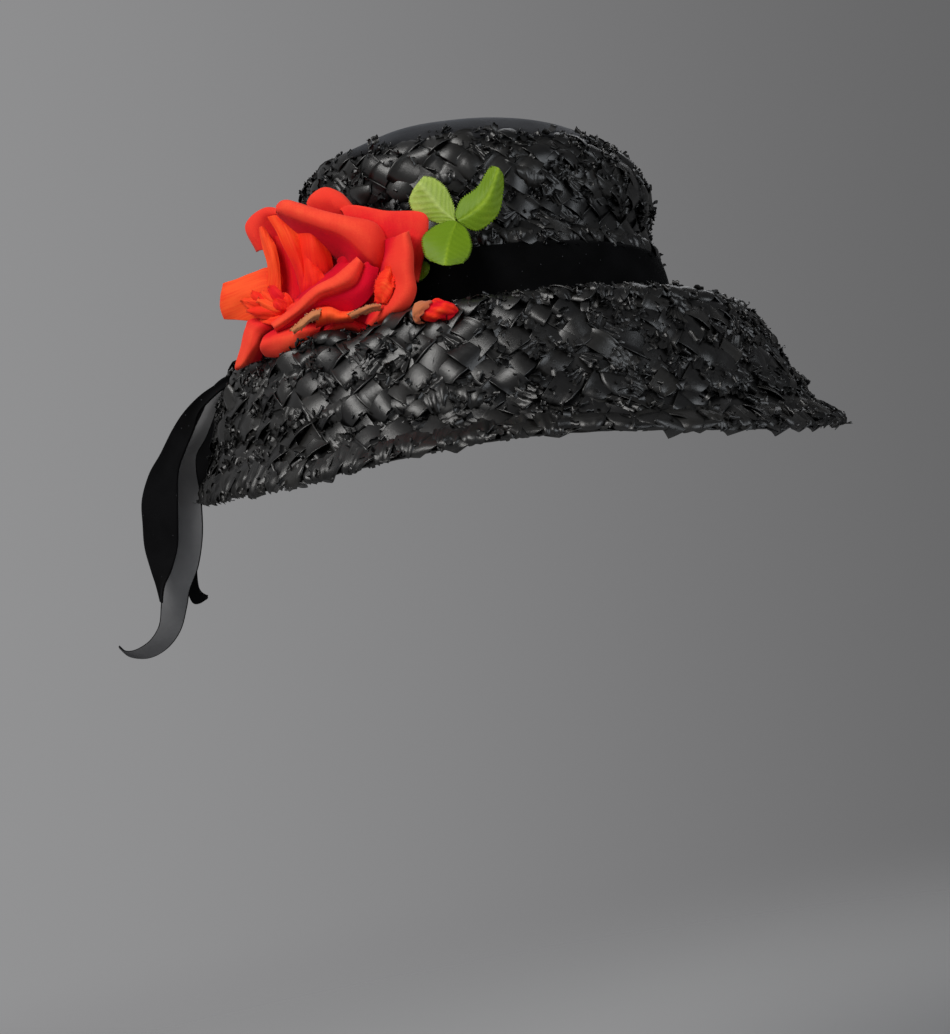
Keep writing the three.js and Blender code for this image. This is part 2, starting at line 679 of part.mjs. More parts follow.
const STRAW_BLACK = material(0x141416, 0.3);
const CLOTH_BLACK = material(0x0d0d10, 0.6);
const VELVET_BLACK = material(0x08080a, 0.95);
const ROSE_RED = material(0xb3202a, 0.7);
const HEART_RED = material(0xc43a22, 0.7);
const LEAF_GREEN = material(0x8fae4e, 0.6);

const hat = new THREE.Group();

function addPiece(name, made, look) {
  const mesh = made.getMesh();
  const geometry = new THREE.BufferGeometry();
  geometry.setAttribute("position", new THREE.BufferAttribute(mesh.vertProperties, 3));
  geometry.setIndex(new THREE.BufferAttribute(mesh.triVerts, 1));
  const piece = new THREE.Mesh(geometry, look);
  piece.name = name;
  hat.add(piece);
}

// Each later piece is trimmed to clear the space of the earlier ones.
const crownNeeds = crownSpace();
const brimNeeds = brimStraw(GAP);
const straw = crownNeeds.add(brimNeeds);
addPiece("crown_straw", crownStraw(), STRAW_BLACK);
addPiece("crown_tip", crownTip(), CLOTH_BLACK);
addPiece("hat_band", hatBand(), VELVET_BLACK);
addPiece("brim_straw", brimStraw(0), STRAW_BLACK);

addPiece("brim_strap", largest(brimStrap(0).subtract(straw)), VELVET_BLACK);
let taken = straw.add(brimStrap(GAP));

for (const name of Object.keys(TAILS)) {
  addPiece(name, largest(ribbonTail(name, 0).subtract(taken)), VELVET_BLACK);
  taken = taken.add(ribbonTail(name, GAP));
}

addPiece("rosebud", largest(rosebud(0).subtract(taken)), ROSE_RED);
taken = taken.add(rosebud(GAP));
addPiece("leaf_spray", largest(leafSpray(0).subtract(taken)), LEAF_GREEN);
taken = taken.add(leafSpray(GAP));
addPiece("side_leaf", largest(sideLeaf(0).subtract(taken)), LEAF_GREEN);
taken = taken.add(sideLeaf(GAP));

const roseToHat = roseFrame();
addPiece("rose_heart", largest(roseHeart(0, roseToHat).subtract(taken)), HEART_RED);
addPiece("rose_petals", largest(rosePetals(roseToHat).subtract(taken)), ROSE_RED);

export default hat;
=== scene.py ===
import math

import bpy
import numpy as np
from mathutils import Matrix, Vector


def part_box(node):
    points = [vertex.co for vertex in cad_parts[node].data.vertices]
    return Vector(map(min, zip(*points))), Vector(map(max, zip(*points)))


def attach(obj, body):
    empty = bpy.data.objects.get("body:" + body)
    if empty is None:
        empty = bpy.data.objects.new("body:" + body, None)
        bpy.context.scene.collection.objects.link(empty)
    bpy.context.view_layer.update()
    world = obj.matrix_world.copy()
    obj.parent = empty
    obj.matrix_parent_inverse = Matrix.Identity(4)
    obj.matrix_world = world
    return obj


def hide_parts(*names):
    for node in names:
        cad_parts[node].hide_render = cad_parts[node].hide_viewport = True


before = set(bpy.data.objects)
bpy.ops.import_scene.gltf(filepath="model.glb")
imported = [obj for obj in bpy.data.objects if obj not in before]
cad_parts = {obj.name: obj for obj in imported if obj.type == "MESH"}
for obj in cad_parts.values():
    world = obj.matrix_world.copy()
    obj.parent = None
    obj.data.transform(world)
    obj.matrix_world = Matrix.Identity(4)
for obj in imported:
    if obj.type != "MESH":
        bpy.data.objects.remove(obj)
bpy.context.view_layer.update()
MM = 0.001
TURN = 2 * math.pi

# Head opening, crown and brim
HEAD_WIDTH = 168.0
HEAD_LENGTH = 194.0
CROWN_HEIGHT = 104.0
CROWN_LEAN = math.tan(math.radians(8.3))
CROWN_SHIFT = 10.0
STRAW = 2.2
BRIM_REACH = 72.0
BRIM_DROP = 80.0
GAP = 0.3
VELVET = 1.2
BAND_OUT = GAP + VELVET
BASE_HALF_WIDTH = HEAD_WIDTH / 2 + STRAW
BASE_HALF_LENGTH = HEAD_LENGTH / 2 + STRAW

# Crown levels from the foot to the top: height, width, length, shift and lean,
# as shares of the crown's height, the foot's width and length, the top's shift and lean.
CROWN_LEVELS = np.array([
    (0.0, 1.0, 1.0, 0.0, 0.0),
    (0.245, 0.972, 0.975, 0.0, 0.35),
    (0.37, 0.942, 0.945, 0.0, 0.6),
    (0.468, 0.95, 0.945, 0.0, 0.8),
    (0.58, 0.975, 0.955, 0.0, 1.0),
    (0.683, 0.985, 0.95, 0.0, 1.0),
    (0.767, 0.93, 0.9, 0.1, 1.0),
    (0.842, 0.82, 0.8, 0.4, 1.0),
    (0.921, 0.64, 0.64, 0.7, 1.0),
    (0.977, 0.38, 0.4, 1.0, 1.0),
    (1.0, 0.0, 0.0, 1.0, 1.0),
])
# Levels at which the crown's two rows of braid start, and where the upper one ends at the cloth tip
LOWER_ROW_FROM = 1.12
UPPER_ROW_FROM = 3.5
TIP_LEVEL = 6.8
TIP_LEVEL_SLANT = 0.75
TIP_SLANT_TURN = 0.9


def tip_edge(turn):
    """Level at which the crown's braid ends and the cloth tip shows."""
    return TIP_LEVEL - TIP_LEVEL_SLANT * np.cos(turn + TIP_SLANT_TURN)


def level_of(value):
    """An edge that keeps one level all the way round."""
    return lambda turn: np.full(np.shape(turn), float(value))


CROWN_ROWS = ((level_of(LOWER_ROW_FROM), level_of(UPPER_ROW_FROM)), (level_of(UPPER_ROW_FROM), tip_edge))

# Brim sections at eight equal turns, from the front towards +X: how far out and down
# each of the three rows ends, as shares of the brim's reach and drop.
BRIM_SECTIONS = np.array([
    (0.39, 0.065, 0.66, 0.63, 0.91, 0.826),
    (0.47, 0.13, 0.75, 0.695, 0.99, 0.967),
    (0.51, 0.195, 0.71, 0.61, 0.92, 0.842),
    (0.43, 0.13, 0.63, 0.391, 0.83, 0.587),
    (0.27, 0.01, 0.41, 0.184, 0.56, 0.337),
    (0.44, -0.011, 0.61, 0.25, 0.78, 0.435),
    (0.6, -0.066, 0.8, 0.348, 0.93, 0.658),
    (0.49, 0.01, 0.72, 0.489, 0.93, 0.826),
])
RIM_LEVEL = 4.0

# Where the rose presses the brim's ridge down: turn, reach in radians and depth of each dent,
# then the level of their middle and how many levels they reach
BRIM_DENTS = ((-0.55, 0.085, 5.0), (-0.97, 0.12, 4.5), (-0.78, 0.25, 1.6), (-0.42, 0.1, 1.5))
DENT_LEVEL = 1.65
DENT_LEVELS = 0.6


def blend_rows(a, b, c, d, part):
    linear = (c - a) * part
    square = (2 * a - 5 * b + 4 * c - d) * part**2
    cube = (3 * b - a - 3 * c + d) * part**3
    return b + 0.5 * (linear + square + cube)


def read_table(table, place, closed=False):
    """Reads a table's rows at fractional places with a smooth curve."""
    place = np.asarray(place, float).ravel()
    count = len(table)
    spans = count if closed else count - 1
    first = np.clip(np.floor(place).astype(int), 0, spans - 1)
    part = (place - first)[:, None]
    rows = []
    for step in (-1, 0, 1, 2):
        index = first + step
        rows.append(table[index % count if closed else np.clip(index, 0, count - 1)])
    return blend_rows(*rows, part)


def crown_point(turn, level):
    height, width, length, shift, lean = read_table(CROWN_LEVELS, level).T
    x = CROWN_SHIFT * shift + BASE_HALF_WIDTH * width * np.sin(turn)
    y = -BASE_HALF_LENGTH * length * np.cos(turn)
    return np.stack([x, y, CROWN_HEIGHT * height - CROWN_LEAN * lean * x], 1)


def brim_point(turn, level):
    places = np.mod(turn / TURN, 1) * len(BRIM_SECTIONS)
    columns = read_table(BRIM_SECTIONS, places, closed=True)
    ends = columns.reshape(-1, 3, 2) * (BRIM_REACH, BRIM_DROP)
    section = np.concatenate([np.zeros((len(ends), 1, 2)), ends], 1)
    each = np.arange(len(ends))
    place = np.clip(level - 1, 0, None)
    first = np.clip(np.floor(place).astype(int), 0, 2)
    rows = [section[each, np.clip(first + step, 0, 3)] for step in (-1, 0, 1, 2)]
    spot = blend_rows(*rows, (place - first)[:, None])
    flange = np.minimum(level - 1, 0) * (BAND_OUT + STRAW)
    out = BAND_OUT + spot[:, 0] + flange
    x = (BASE_HALF_WIDTH + out) * np.sin(turn)
    y = -(BASE_HALF_LENGTH + out) * np.cos(turn)
    dent = np.zeros(len(turn))
    for middle, reach, depth in BRIM_DENTS:
        away = (turn - middle + math.pi) % TURN - math.pi
        dent += depth * np.exp(-((away / reach) ** 2))
    dent *= np.exp(-(((level - DENT_LEVEL) / DENT_LEVELS) ** 2)) * np.clip((level - 1) / 0.3, 0, 1)
    return np.stack([x, y, -GAP - spot[:, 1] - dent], 1)


def unit(vectors):
    return vectors / np.maximum(np.linalg.norm(vectors, axis=-1, keepdims=True), 1e-9)


def surface_frame(point, turn, level):
    """Position, both slopes and the outward normal of a surface at many places."""
    step = 1e-3
    turn, level = (np.asarray(v, float).ravel() for v in np.broadcast_arrays(turn, level))
    around = (point(turn + step, level) - point(turn - step, level)) / (2 * step)
    along = (point(turn, level + step) - point(turn, level - step)) / (2 * step)
    normal = unit(np.cross(around, along))
    if point is brim_point:
        normal = -normal
    return point(turn, level), around, along, normal


def lifted(point, turn, level, lift):
    """Points of a surface moved along its outward normal, in the shape of the turns."""
    place, _, _, normal = surface_frame(point, turn, level)
    return (place + normal * np.reshape(lift, (-1, 1))).reshape(*np.shape(turn), 3)


def oval_grid(columns, rows):
    """Turns and shares of the way up for a closed sheet round the hat."""
    return np.meshgrid(np.linspace(0, TURN, columns, endpoint=False), np.linspace(0, 1, rows))


# Node materials, whose bump heights are metres
def node(tree, kind, **settings):
    """New node; each setting names an input, with _ for a space, or else an attribute of the node."""
    made = tree.nodes.new(kind)
    for name, value in settings.items():
        socket = name.replace("_", " ")
        if socket in made.inputs:
            made.inputs[socket].default_value = value
        else:
            setattr(made, name, value)
    return made


def new_material(name, **sockets):
    """New material with its tree and shader; each setting names an input of the shader."""
    material = bpy.data.materials.new(name)
    material.use_nodes = True
    shader = material.node_tree.nodes["Principled BSDF"]
    for socket, value in sockets.items():
        shader.inputs[socket.replace("_", " ")].default_value = value
    return material, material.node_tree, shader


def mix_colours(tree, factor, first, second):
    """Mix of two colours, each given as numbers or as a socket."""
    made = node(tree, "ShaderNodeMix", data_type="RGBA")
    tree.links.new(factor, made.inputs["Factor"])
    for socket, value in ((made.inputs[6], first), (made.inputs[7], second)):
        if isinstance(value, bpy.types.NodeSocket):
            tree.links.new(value, socket)
        else:
            socket.default_value = (*value, 1.0)
    return made.outputs[2]


def texture(tree, place, kind="Noise", **settings):
    """Procedural texture at the places that a socket gives."""
    made = node(tree, "ShaderNodeTex" + kind, **settings)
    tree.links.new(place, made.inputs["Vector"])
    return made


def stretched(tree, place, scale):
    made = node(tree, "ShaderNodeMapping", vector_type="POINT", Scale=scale)
    tree.links.new(place, made.inputs["Vector"])
    return made.outputs[0]


def mapped(tree, value, **settings):
    """A socket's value carried from one range to another."""
    made = node(tree, "ShaderNodeMapRange", **settings)
    tree.links.new(value, made.inputs["Value"])
    return made.outputs[0]


def add_bump(tree, shader, height, strength, distance):
    bump = node(tree, "ShaderNodeBump", Strength=strength, Distance=distance)
    tree.links.new(height.outputs["Fac"], bump.inputs["Height"])
    tree.links.new(bump.outputs[0], shader.inputs["Normal"])


def mesh_sources(tree):
    """What each mesh carries: its points' tone, which is random on the straw and carries painted shade and
    highlight on the rose, bud, leaves and ribbon tails, and the place along and across the strip.
    """
    tone = node(tree, "ShaderNodeAttribute", attribute_name="tone")
    strip = node(tree, "ShaderNodeUVMap", uv_map="strip")
    return tone.outputs["Fac"], strip.outputs[0]


def straw_material(name, lift=1.0):
    """Glossy black plastic straw: fine lines along each strip, and a tone of its own for each."""
    material, tree, shader = new_material(name, IOR=1.52, Specular_IOR_Level=0.52)
    tone, strip = mesh_sources(tree)
    fine = texture(tree, stretched(tree, strip, (0.05, 2.2, 1.0)), Scale=2.0, Detail=3.0, Roughness=0.6)
    soft = texture(tree, strip, Scale=0.35, Detail=2.0)
    dark = [lift * c for c in (0.0022, 0.0022, 0.0024)]
    pale = [lift * c for c in (0.011, 0.0105, 0.0095)]
    tree.links.new(mix_colours(tree, tone, dark, pale), shader.inputs["Base Color"])
    tree.links.new(mapped(tree, soft.outputs["Fac"], To_Min=0.27, To_Max=0.45), shader.inputs["Roughness"])
    add_bump(tree, shader, fine, 0.35, 0.0002)
    return material


def velvet_material(name, colour=(0.0016, 0.0016, 0.0018), sheen=0.08, sheen_colour=(0.6, 0.62, 0.68)):
    """Short black pile: almost no gloss, a faint sheen, brushed patches and specks of lint."""
    material, tree, shader = new_material(
        name, Roughness=0.95, Specular_IOR_Level=0.05, Sheen_Weight=sheen, Sheen_Roughness=0.35,
        Sheen_Tint=(*sheen_colour, 1.0),
    )
    place = node(tree, "ShaderNodeTexCoord").outputs["Object"]
    pile = texture(tree, place, Scale=900.0, Detail=4.0, Roughness=0.7)
    nap = texture(tree, place, Scale=45.0, Detail=3.0)
    lint = texture(tree, place, "Voronoi", Scale=210.0, Randomness=1.0)
    brushed = mapped(tree, nap.outputs["Fac"], From_Min=0.35, From_Max=0.7)
    cloth = mix_colours(tree, brushed, colour, [3.2 * c for c in colour])
    speck = mapped(tree, lint.outputs["Distance"], From_Min=0.075, From_Max=0.03)
    tree.links.new(mix_colours(tree, speck, cloth, (0.05, 0.05, 0.056)), shader.inputs["Base Color"])
    add_bump(tree, shader, pile, 0.5, 0.0003)
    return material


def satin_material():
    """Grey satin back of the velvet ribbon, with fine threads across it; its grey is darkened by the painted
    shade that the points' tone carries.
    """
    material, tree, shader = new_material(
        "satin_back", Roughness=0.6, Specular_IOR_Level=0.15, Sheen_Weight=0.08, Sheen_Roughness=0.4
    )
    tone, strip = mesh_sources(tree)
    thread = texture(tree, strip, "Wave", Scale=0.9, Distortion=0.6, Detail=2.0)
    cloud = texture(tree, strip, Scale=0.12, Detail=3.0)
    # Painted shade: a low tone darkens the satin's grey
    darker = mix_colours(tree, tone, (0.03, 0.03, 0.032), (0.2, 0.201, 0.207))
    paler = mix_colours(tree, tone, (0.05, 0.05, 0.053), (0.28, 0.281, 0.288))
    grey = mix_colours(tree, cloud.outputs["Fac"], darker, paler)
    tree.links.new(grey, shader.inputs["Base Color"])
    add_bump(tree, shader, thread, 0.2, 0.0002)
    return material


# Meshes
def add_object(name, data):
    made = bpy.data.objects.new(name, data)
    bpy.context.scene.collection.objects.link(made)
    return made


def make_mesh(name, points, faces, materials, uv, tone, face_material=None):
    """A smooth-shaded mesh from points in millimetres; uv and tone are given for each point."""
    mesh = bpy.data.meshes.new(name)
    mesh.from_pydata((points * MM).tolist(), [], faces.tolist())
    for material in materials:
        mesh.materials.append(material)
    corners = np.zeros(len(mesh.loops), np.int32)
    mesh.loops.foreach_get("vertex_index", corners)
    mesh.uv_layers.new(name="strip").data.foreach_set("uv", uv.astype(np.float32)[corners].ravel())
    mesh.attributes.new("tone", "FLOAT", "POINT").data.foreach_set("value", tone.astype(np.float32))
    mesh.polygons.foreach_set("use_smooth", np.ones(len(mesh.polygons), bool))
    if face_material is not None:
        mesh.polygons.foreach_set("material_index", face_material.astype(np.int32))
    mesh.update()
    piece = add_object(name, mesh)
    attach(piece, "root")
    return piece


def grid_faces(rows, columns, wrap=False, offset=0):
    """Quads of a grid of points; with wrap its last column joins its first."""
    steps = columns if wrap else columns - 1
    row, column = np.meshgrid(np.arange(rows - 1), np.arange(steps), indexing="ij")
    after = (column + 1) % columns
    upper, lower = row * columns, (row + 1) * columns
    corners = (upper + column, upper + after, lower + after, lower + column)
    return np.stack([c.ravel() for c in corners], 1) + offset


def grid_normals(grid, wrap=False):
    along = np.gradient(grid, axis=0)
    if wrap:
        across = (np.roll(grid, -1, 1) - np.roll(grid, 1, 1)) / 2
    else:
        across = np.gradient(grid, axis=1)
    return unit(np.cross(along, across))


def sheet_piece(name, grid, thickness, materials, wrap=False, tone=0.3, edge=0):
    """A closed sheet round a grid of points.

    A second material covers its back, and edge says which of the two covers its borders.
    """
    rows, columns = grid.shape[:2]
    offset = grid_normals(grid, wrap) * thickness / 2
    points = np.concatenate([(grid + offset).reshape(-1, 3), (grid - offset).reshape(-1, 3)])
    count = rows * columns
    front = grid_faces(rows, columns, wrap)
    back = front[:, ::-1] + count
    sides = []
    for row in (0, rows - 1):
        k = np.arange(columns if wrap else columns - 1)
        a, b = row * columns + k, row * columns + (k + 1) % columns
        side = np.stack([a, a + count, b + count, b], 1)
        sides.append(side if row == 0 else side[:, ::-1])
    for column in () if wrap else (0, columns - 1):
        k = np.arange(rows - 1)
        a, b = k * columns + column, (k + 1) * columns + column
        side = np.stack([a, b, b + count, a + count], 1)
        sides.append(side if column == 0 else side[:, ::-1])
    faces = np.concatenate([front, back, *sides])
    which = np.zeros(len(faces), int)
    if len(materials) > 1:
        which[len(front):len(front) + len(back)] = 1
        which[len(front) + len(back):] = edge
        column = np.arange(len(front)) % (columns - 1)
        border = np.flatnonzero((column == 0) | (column == columns - 2))
        which[border] = which[border + len(front)] = edge
    lengths = np.linalg.norm(np.diff(grid, axis=0, prepend=grid[:1]), axis=2).cumsum(0)
    widths = np.linalg.norm(np.diff(grid, axis=1, prepend=grid[:, :1]), axis=2).cumsum(1)
    uv = np.tile(np.stack([lengths, widths], 2).reshape(-1, 2), (2, 1))
    tones = np.tile(np.broadcast_to(tone, (rows, columns)).ravel(), 2)
    return make_mesh(name, points, faces, materials, uv, tones, which)


# Woven straw. Each row of braid is a lattice of strips on both slants. At each crossing one strip lies
# on top, either smooth or gathered into fine pleats, and along the free edge each strip turns over in a lobe.
STRIP = 10.0
DIAGONAL = STRIP * math.sqrt(2)
STRIP_SKIN = 0.3
STRAP_MIDDLE_Y = 10.0
STRAP_WIDTH = 38.0
# Places across a smooth strip, closer together at both edges, where a bead is rolled
BEAD_PLACES = (-1, -0.94, -0.84, -0.35, 0.35, 0.84, 0.94, 1)
BEAD_SHAPE = ((0.0, 0.84, 0.94, 1.0), (0.0, 0.0, 1.0, 0.45))
# What lies on top at a crossing, and how often
SMOOTH, GATHERED, FAN, TUFT = range(4)
KIND_SHARES = (0.56, 0.13, 0.11, 0.2)
# Share of the lobes that aren't pleated, and share that a row keeps where it runs on over the next
PLAIN_LOBES = 0.4
LOBES_KEPT = 0.55
# Frills at each tuft, each pleated strip, each tucked end and each crossing near the brim's ridge
TUFT_FRILLS = 10
PLEAT_FRILLS = 4
EDGE_FRILLS = 3
RIDGE_FRILLS = 4
RIDGE_LEVELS = 0.3
LARGEST_FRILL = 1.7
# How far any patch runs past the row's free edge unchanged, and how much further it may go
PAST_EDGE = 0.6
PAST_EDGE_FRILL = 2.6
PAST_OUTERMOST = 1.4
PAST_INNER_ROW = 4.0
# Share of its height that the braid keeps under the strap
STRAP_PRESS = 0.12


def row_cells(point, start, end, lower_first):
    """A row's crossings and lobes, each with its turn and level, the share of the way from the free edge,
    its column and its distance from that edge.
    """
    turns = np.linspace(0, TURN, 721)
    path = point(turns, (start(turns) + end(turns)) / 2)
    lengths = np.concatenate([[0], np.linalg.norm(np.diff(path, axis=0), axis=1).cumsum()])
    columns = 2 * round(lengths[-1] / DIAGONAL)
    column_turns = np.interp(np.arange(columns) * lengths[-1] / columns, lengths, turns)
    free, tucked = (start, end) if lower_first else (end, start)
    spots = []
    edges = []
    for column, turn in enumerate(column_turns):
        levels = np.linspace(free(turn), tucked(turn), 33)
        spine = point(np.full(33, turn), levels)
        depth = np.concatenate([[0], np.linalg.norm(np.diff(spine, axis=0), axis=1).cumsum()])
        if column % 2 == 0:
            edges.append((turn, levels[0], 0.0, column, 0.0))
        distance = DIAGONAL * (0.75 if column % 2 == 0 else 0.25)
        while distance < depth[-1] + 2.0:
            level = np.interp(distance, depth, levels)
            spots.append((turn, level, distance / depth[-1], column, distance))
            distance += DIAGONAL
    return np.array(spots), np.array(edges)


def strip_grid(count, along, places):
    """Coordinates p along and q across many strips, both from -1 to 1."""
    p, q = np.meshgrid(np.linspace(-1, 1, along), places, indexing="ij")
    return np.broadcast_to(p, (count, *p.shape)), np.broadcast_to(q, (count, *q.shape))


def smooth_strip(count, draw):
    """Glossy facet: bowed along the strip, tilted and twisted, with a bead rolled along one edge."""
    p, q = strip_grid(count, 7, BEAD_PLACES)
    each = (count, 1, 1)
    size = draw.uniform(0.94, 1.1, each)
    length = 0.88 * STRIP * size
    width = 0.54 * STRIP * size * (1 - 0.1 * p**2)
    bow = draw.uniform(0.8, 1.7, each)
    side = draw.choice([-1, 1, 1], each)
    bead = draw.uniform(0.35, 0.95, each) * (draw.random(each) < 0.75)
    rolled = np.interp(np.abs(q), *BEAD_SHAPE) * (np.sign(q) == side)
    height = bow * (1 - 1.9 * p**2) - draw.normal(0.35, 0.45, each) * q**2
    height = height + draw.normal(0, 0.75, each) * q + draw.normal(0, 0.4, each) * p
    height = height + draw.normal(0, 0.8, each) * p * q + bead * rolled
    bend = draw.uniform(0.0, 0.9, each)
    height = height + bend * np.sin(1.9 * side * (p + 0.4 * q) + draw.uniform(0, TURN, each))
    return p * length, q * width * (1 - 0.05 * bead * rolled), height


def gathered_strip(count, draw):
    """Gathered strip: sharp uneven pleats across it, with a ragged outline."""
    along, across = 17, 6
    p, q = strip_grid(count, along, np.linspace(-1, 1, across))
    each = (count, 1, 1)
    size = draw.uniform(0.8, 1.1, each)
    phase = draw.uniform(0, TURN, each)
    slant = draw.uniform(-1.4, 1.4, each)
    pleats = draw.uniform(3.0, 4.6, each)
    wander = draw.normal(0, 1.3, each) * np.sin(2.9 * q + phase) + draw.normal(0, 0.45, p.shape)
    wave = np.sin(pleats * math.pi * p + slant * q + wander + phase)
    height = draw.uniform(0.4, 1.4, each) * (1 - 1.6 * p**2)
    height = height + 0.75 * np.sign(wave) * np.abs(wave) ** 0.7 + draw.normal(0, 0.3, p.shape)
    height = height + draw.normal(0, 0.7, each) * q
    ragged = 1 + 0.16 * np.sin(pleats * math.pi * p + phase) + draw.normal(0, 0.06, (count, along, 1))
    drift = draw.normal(0, 0.35, (count, along, 1))
    return p * 0.78 * STRIP * size, q * 0.44 * STRIP * size * ragged + drift, height


def fan_strip(count, draw):
    """Strip pinched at one end and spread in pleats at the other, which stands up from the braid."""
    across = 15
    p, q = strip_grid(count, 7, np.linspace(-1, 1, across))
    each = (count, 1, 1)
    share = (p + 1) / 2
    size = draw.uniform(0.75, 1.1, each)
    width = STRIP * size * (0.16 + 0.42 * share**0.8)
    folds = draw.uniform(2.6, 4.2, each)
    phase = draw.uniform(0, TURN, each)
    wave = np.sin(folds * math.pi * q + phase)
    height = draw.uniform(0.4, 2.2, each) * share**1.3 + 0.7 * wave * (0.35 + 0.65 * share)
    height = height + draw.normal(0, 0.6, each) * q + draw.normal(0, 0.22, p.shape)
    uneven = draw.normal(0, 0.6, (count, 1, across)) * share
    return p * 0.5 * STRIP * size + uneven, q * width, height


def lobe(count, draw, along=8, across=9, pleated=False):
    """Rounded end where a strip turns over at the free edge. p runs outwards and q along the edge."""
    p, q = strip_grid(count, along, np.linspace(-1, 1, across))
    each = (count, 1, 1)
    share = (p + 1) / 2
    reach = draw.uniform(0.2, 3.4, each)
    inside = draw.uniform(6.0, 8.5, each)
    outline = np.sqrt(np.clip(1 - draw.uniform(0.7, 0.9, each) * q**2, 0, 1))
    out = -inside + (inside + reach) * share * (0.35 + 0.65 * outline)
    width = DIAGONAL * draw.uniform(0.47, 0.58, each) * (1 - 0.3 * share**3)
    height = draw.uniform(1.0, 2.2, each) * np.sin(math.pi * (0.15 + 0.72 * share)) - 1.6 * share**5
    height = height - 1.0 * q**2 + draw.normal(0, 0.7, each) * q
    crease = draw.normal(0, 0.5, each)
    height = height - 1.1 * np.exp(-((q - crease) / 0.16) ** 2) * share
    if pleated:
        wave = np.sin(draw.uniform(2.6, 4.4, each) * math.pi * q + draw.uniform(0, TURN, each))
        height = height + 0.9 * wave * (0.3 + 0.7 * share)
        height = height + draw.normal(0, 0.25, p.shape)
        out = out + draw.normal(0, 0.5, (count, 1, across)) * share
    return out, q * width, height


def pleated_lobe(count, draw):
    return lobe(count, draw, 7, 13, pleated=True)


def frill(count, draw, grow):
    """Small curled loop of ribbon that stands out of the braid; one in four is twice as large."""
    p, q = strip_grid(count, 6, np.linspace(-1, 1, 4))
    each = (count, 1, 1)
    angle = (p + 1) / 2 * draw.uniform(2.4, 4.0, each)
    large = np.where(draw.random(each) < 0.25, draw.uniform(1.4, 2.1, each), 1.0) * grow
    radius = np.minimum(draw.uniform(0.5, 1.15, each) * large, LARGEST_FRILL)
    width = draw.uniform(0.6, 1.7, each) * (1 - 0.25 * p**2) * np.minimum(0.4 + 0.6 * large, 1.8)
    height = radius * (1 - np.cos(angle)) * draw.uniform(0.6, 1.1, each) + draw.normal(0, 0.35, each) * q
    height = height + 0.25 * np.sin(5 * q + draw.uniform(0, TURN, each))
    return radius * (np.sin(angle) + 0.5 * angle), q * width, height


def lay_on(point, turn, level, around, down, lift):
    """Lays patches on a surface at their places, where lift is the height above it."""
    _, side, along, _ = surface_frame(point, turn, level)
    side_length = np.linalg.norm(side, axis=1)[:, None, None]
    along_length = np.maximum(np.linalg.norm(along, axis=1), 11.0)[:, None, None]
    turns = turn[:, None, None] + around / side_length
    levels = level[:, None, None] + down / along_length
    return lifted(point, turns, levels, lift)


def under_strap(point, turn, level):
    """Share of its height that the braid keeps: it is pressed flat under the velvet strap."""
    if point is not brim_point:
        return np.ones(len(turn))
    place = point(turn, level)
    beyond = np.abs(place[:, 1] - STRAP_MIDDLE_Y) - STRAP_WIDTH / 2
    kept = STRAP_PRESS + (1 - STRAP_PRESS) * np.clip((beyond - 3) / 7, 0, 1)
    return np.where(place[:, 0] < 0, kept, 1.0)


def frill_places(point, crossings, edges, kind, tucked, draw):
    """Where a row's frills stand, how much each is enlarged, and how far each strays from there."""
    tuft = np.repeat(crossings[kind == TUFT], TUFT_FRILLS, axis=0)
    pleated = crossings[(kind == GATHERED) | (kind == FAN)]
    tuft = np.concatenate([tuft, np.repeat(pleated, PLEAT_FRILLS, axis=0)])
    strays = crossings[draw.choice(len(crossings), len(crossings), replace=True)]
    rim = edges[draw.choice(len(edges), len(edges) * 2, replace=True)]
    tuck = np.repeat(edges, EDGE_FRILLS, axis=0)
    tuck[:, 1] = tucked(tuck[:, 0])
    tuck[:, 2] = 1.0
    tuck[:, 4] = 2 * DIAGONAL
    near_ridge = np.abs(crossings[:, 1] - DENT_LEVEL) < RIDGE_LEVELS
    ridge = np.repeat(crossings[near_ridge] if point is brim_point else tuck[::2], RIDGE_FRILLS, axis=0)
    places = np.concatenate([tuft, strays, rim, tuck, ridge])
    grow = np.repeat((1.0, 1.4, 1.8, 1.0), (len(tuft) + len(strays), len(rim), len(tuck), len(ridge)))
    away = draw.normal(0, 1, (2, len(places))) * np.where(np.arange(len(places)) < len(tuft), 2.6, 5.0)
    return places, grow[:, None, None], away[..., None, None]


